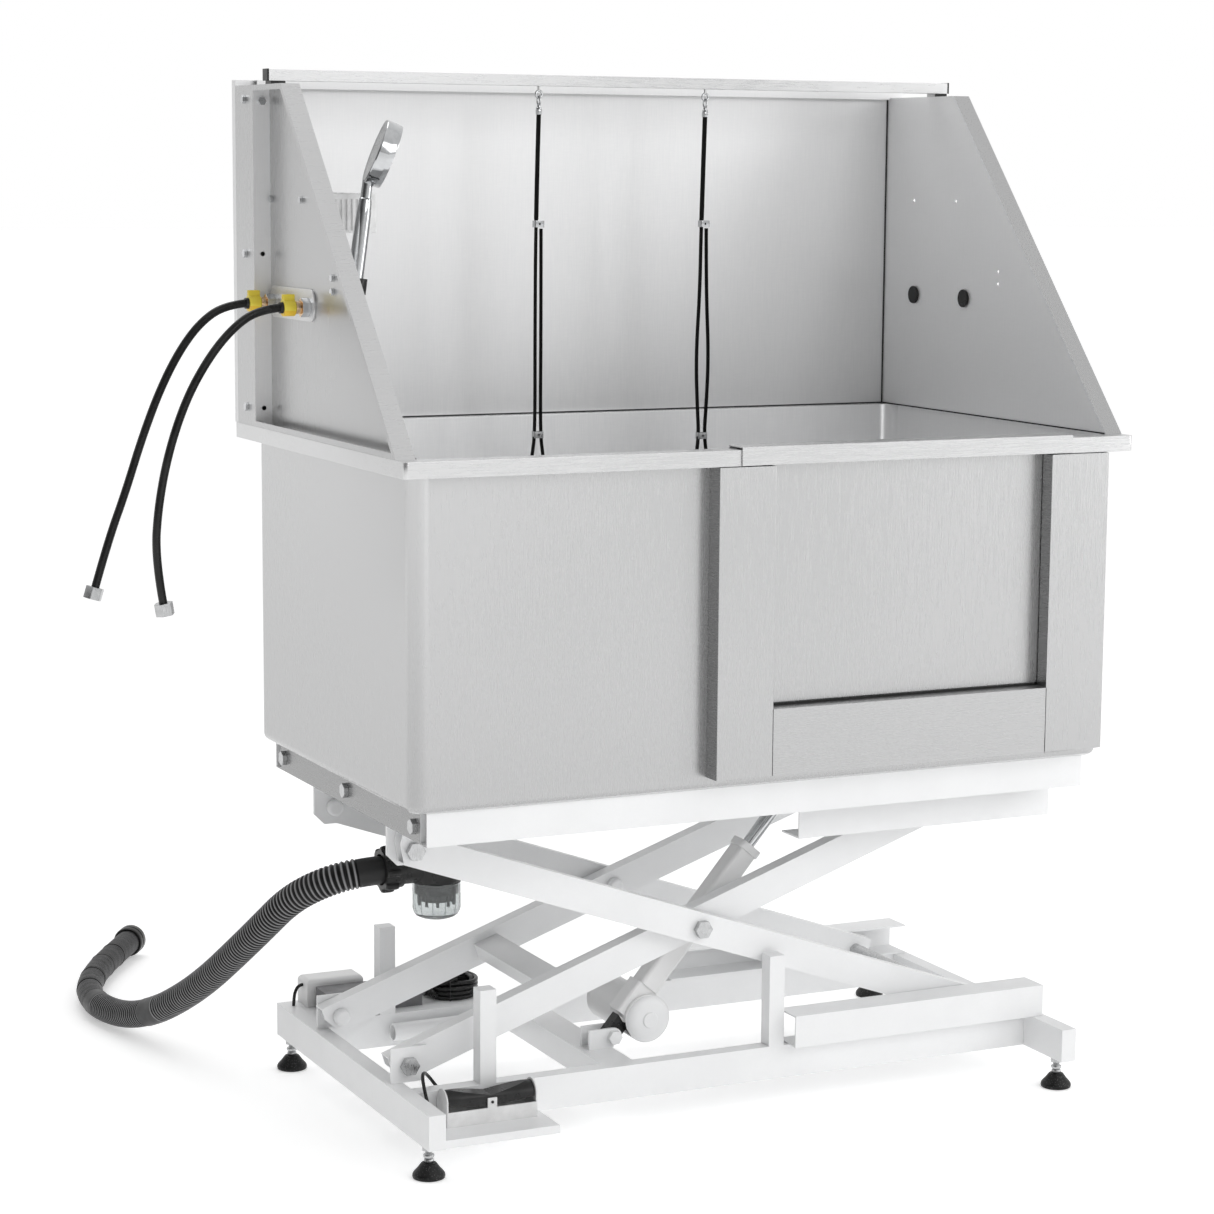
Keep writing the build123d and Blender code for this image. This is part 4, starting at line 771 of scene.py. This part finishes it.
def panel_seam_shade():
    """Dark strips of painted shade in the joints between the splash panels, and between them and the rim."""
    width, sunk = 1.8, 0.1
    foot, head, back = RIM_TOP - sunk, RIM_TOP + width, PANEL_BACK + sunk
    corners = [((-PANEL_X, PANEL_BACK - width, foot), (PANEL_X, back, head))]
    for side in (-1, 1):
        near, far = sorted((side * (PANEL_X - width), side * (PANEL_X + sunk)))
        corners.append(((near, PANEL_BACK - width, RIM_TOP), (far, back, PANEL_TOP)))
        corners.append(((near, PANEL_FRONT, foot), (far, PANEL_BACK, head)))
    seams = [bevelled_box("seam", low, high, SEAM_SHADE, 0.2) for low, high in corners]
    settle(join("panel_seam_shade", seams), "platform", "black_rubber")


def motor():
    """The motor behind the gear case and the domed cover in front of it."""
    axis = Matrix.Translation((-93, 0, 130.5)) @ Matrix.Rotation(math.radians(-90), 4, "X")
    cover = lathe("cover", [(10.6, -116.4), (11.8, -115.6), (12.2, -114.6), (13.4, -114.4), (22, -113.6),
                            (28.6, -111.6), (32.6, -108.8), (34.4, -106.4), (35, -104.9)], PAINT, axis, 72)
    body = lathe("body", [(34.6, -65.1), (35, -64.4), (35, -52), (34.2, -51.4), (34.2, -50.6), (35, -50),
                          (35, 24), (34.2, 24.6), (34.2, 25.4), (35, 26), (35, 33), (32, 37), (28, 38)],
                 PAINT_GREY, axis, 72)
    settle(join("motor_and_cover", [cover, body]), "actuator", "frame_paint", "actuator_motor")


def union_nut():
    """The hose's union nut: a bored ring with eight rounded lugs, wider at the middle of their length."""
    lobes, sides = 8, 160
    sections = [(-474, 29.5, 0.35), (-472.5, 31, 0.8), (-469, 31.4, 1.0), (-458, 31.4, 1.0),
                (-454.5, 31, 0.8), (-453.5, 29, 0.2), (-450, 28.5, 0.1), (-444, 27.6, 0.0)]

    def ring(x, radius_at):
        return [Vector((x, radius_at(t) * math.cos(t), OUTLET_Z + radius_at(t) * math.sin(t))) * MM
                for t in around(sides)]

    def lobed(base, lift):
        return lambda t: base - 2.6 * lift + 6.1 * lift * max(0.0, math.cos(lobes * t)) ** 0.45

    rings = [ring(x, lobed(base, lift)) for x, base, lift in sections]
    rings += [ring(-444, lambda t: 24.3), ring(-474, lambda t: 22.9)]
    nut = skin("union_nut", rings + rings[:1], BLACK, closed_ends=False)
    settle(nut, "platform", "black_plastic", "drain_union_nut")


def loop_fittings(side, x, stop_z):
    """Snap hook on the rail's eye, and the small metal slider and stop that close the strap's loop."""
    bend = [(-0.5, 1466), (4.6, 1469), (5.4, 1476), (2.5, 1481.4), (-2.5, 1481.4), (-5.4, 1476), (-4.6, 1469),
            (0.5, 1466)]
    hook = wire("hook", [(x, LOOP_Y + y, z) for y, z in bend], 1.5, CHROME)
    barrel = lathe("barrel", [(3.6, 1461), (4.4, 1462), (4.4, 1464), (3.2, 1465), (3.0, 1467.4)],
                   CHROME, Matrix.Translation((x, LOOP_Y, 0)), 24)
    eye = bevelled_box("swivel_eye", (x - 3, LOOP_Y - 5.6, 1453.5), (x + 3, LOOP_Y + 5.6, 1461.5),
                       CHROME, 1.2)
    parts = [hook, barrel, eye]
    bars = [((-7.2, -5.6, 0), (7.2, -4.5, 10)), ((-7.2, 4.5, 0), (7.2, 5.6, 10)),
            ((-7.2, -5.6, 0), (-6.2, 5.6, 10)), ((6.2, -5.6, 0), (7.2, 5.6, 10)),
            ((-1.6, -5.6, 3), (1.6, 5.6, 7))]
    for z, metal in ((1286, CHROME), (stop_z, ZINC)):
        middle = Vector((x, LOOP_Y, z))
        for low, high in bars:
            parts.append(bevelled_box("slider", middle + Vector(low), middle + Vector(high), metal, 0.3))
    settle(join(f"loop_{side}_metal", parts), f"loop_{side}", "chrome", f"loop_{side}_fittings")


def mains_lead():
    """The mains lead from the control box, wound flat on the shelf and tied, with its end at the plug."""
    route = mains_lead_route()
    _, length = centreline(route, 0.002)
    lead = nurbs("mains_lead_wound", route, 3.5, 4)
    lead.data.bevel_resolution = 3
    lead.data.materials.append(RUBBER)
    settle(lead, "base", "black_rubber", "mains_lead", "mains_lead_coil")
    relief_line, _ = centreline(route[:4], 0.001)
    last = 25
    rings = []
    for i, (place, _, a, b) in enumerate(frames_along(relief_line[:last + 1], (0, 0, 1))):
        share = i / last
        groove = 0.9 if i % 4 == 3 and share < 0.9 else 0
        radius = (6.6 - 2.3 * share - groove) * MM
        rings.append([place + (a * math.cos(t) + b * math.sin(t)) * radius for t in around(24)])
    relief = settle(skin("lead_strain_relief", rings, RUBBER), "base", "black_rubber")
    ties = []
    for degrees in (80, 250):
        turn = math.radians(degrees)
        points = [(COIL_X + radius * math.cos(turn), COIL_Y + radius * math.sin(turn), z)
                  for radius, z in ((30.6, 99), (30.6, 123), (33, 125.6), (45, 125.6), (47, 123), (47, 99),
                                    (45, 96.9), (33, 96.9))]
        ties.append(wire("tie", points, 1.1, BLACK, closed=True))
    tie = settle(join("lead_ties", ties), "base", "black_plastic")


# ---------------------------------------------------------------- stage
def area_light(name, place, target, size, power):
    data = bpy.data.lights.new(name, "AREA")
    data.shape = "RECTANGLE"
    data.size, data.size_y = size
    data.energy = power
    light = place_object(name, data)
    light.location = place
    light.rotation_mode = "QUATERNION"
    light.rotation_quaternion = (Vector(target) - Vector(place)).to_track_quat("-Z", "Y")


def world_light():
    """Soft light from all round, dimmer from the left end, with a white backdrop behind the object."""
    world = bpy.data.worlds.new("studio")
    bpy.context.scene.world = world
    world.use_nodes = True
    tree = world.node_tree
    background = tree.nodes["Background"]
    background.inputs["Color"].default_value = (1.0, 1.0, 1.0, 1.0)
    direction = tree.nodes.new("ShaderNodeTexCoord").outputs["Generated"]

    def ramp(value, *limits):
        made = tree.nodes.new("ShaderNodeMapRange")
        tree.links.new(value, made.inputs["Value"])
        for key, limit in zip(("From Min", "From Max", "To Min", "To Max"), limits):
            made.inputs[key].default_value = limit
        return made.outputs["Result"]

    def maths(operation, a, b):
        made = tree.nodes.new("ShaderNodeMath")
        made.operation = operation
        tree.links.new(a, made.inputs[0])
        tree.links.new(b, made.inputs[1])
        return made.outputs[0]

    split = tree.nodes.new("ShaderNodeSeparateXYZ")
    tree.links.new(direction, split.inputs[0])
    flag = tree.nodes.new("ShaderNodeVectorMath")
    flag.operation = "DOT_PRODUCT"
    tree.links.new(direction, flag.inputs[0])
    flag.inputs[1].default_value = (-0.93, -0.36, -0.02)
    level = maths("MULTIPLY", ramp(split.outputs["Y"], -1.0, 0.6, 0.70, 0.88),
                  ramp(flag.outputs["Value"], 0.35, 0.93, 1.0, 0.10))
    seen = tree.nodes.new("ShaderNodeLightPath").outputs["Is Camera Ray"]
    tree.links.new(maths("MAXIMUM", level, seen), background.inputs["Strength"])


def studio():
    world_light()
    area_light("key", (0.9, -4.4, 2.9), (0.1, 0, 0.6), (2.6, 2.2), 42)
    area_light("right_fill", (3.6, -2.8, 1.8), (0.2, 0, 0.7), (1.4, 2.6), 34)
    area_light("top", (-0.4, 1.9, 4.0), (0, 0.1, 0.8), (2.6, 1.4), 22)
    reach = 60
    corners = [(-reach, -reach, 0), (reach, -reach, 0), (reach, reach, 0), (-reach, reach, 0)]
    floor = mesh_object("floor", corners, [(0, 1, 2, 3)], dusted_floor("pale_floor"), smooth=False)
    bpy.context.scene.view_settings.view_transform = "Standard"


make_camera()
finish_cad_nodes()
drain_hose()
hand_shower()
trap_bowl()
trap_thread()
feet()
door_seams()
panel_seam_shade()
motor()
union_nut()
loop_fittings("left", -LOOP_X, 968)
loop_fittings("right", LOOP_X, 958)
mains_lead()
for place, route in (("front", SUPPLY_FRONT), ("back", SUPPLY_BACK)):
    round_cord(f"supply_hose_{place}_skin", route, 12.0, "platform", f"supply_hose_{place}",
               far_end="connector", lay="hanging", with_pieces=[nodes["supply_nuts"]])
round_cord("pedal_cable_skin", PEDAL_CABLE, 5.0, "base", "pedal_cable", far_end="object", lay="loose")
round_cord("power_cable_skin", POWER_CABLE, 5.0, "base", "power_cable", far_end="object", lay="loose")
strap("loop_left_webbing", LOOP_LEFT, "loop_left", "loop_left_strap")
strap("loop_right_webbing", LOOP_RIGHT, "loop_right", "loop_right_strap")
studio()
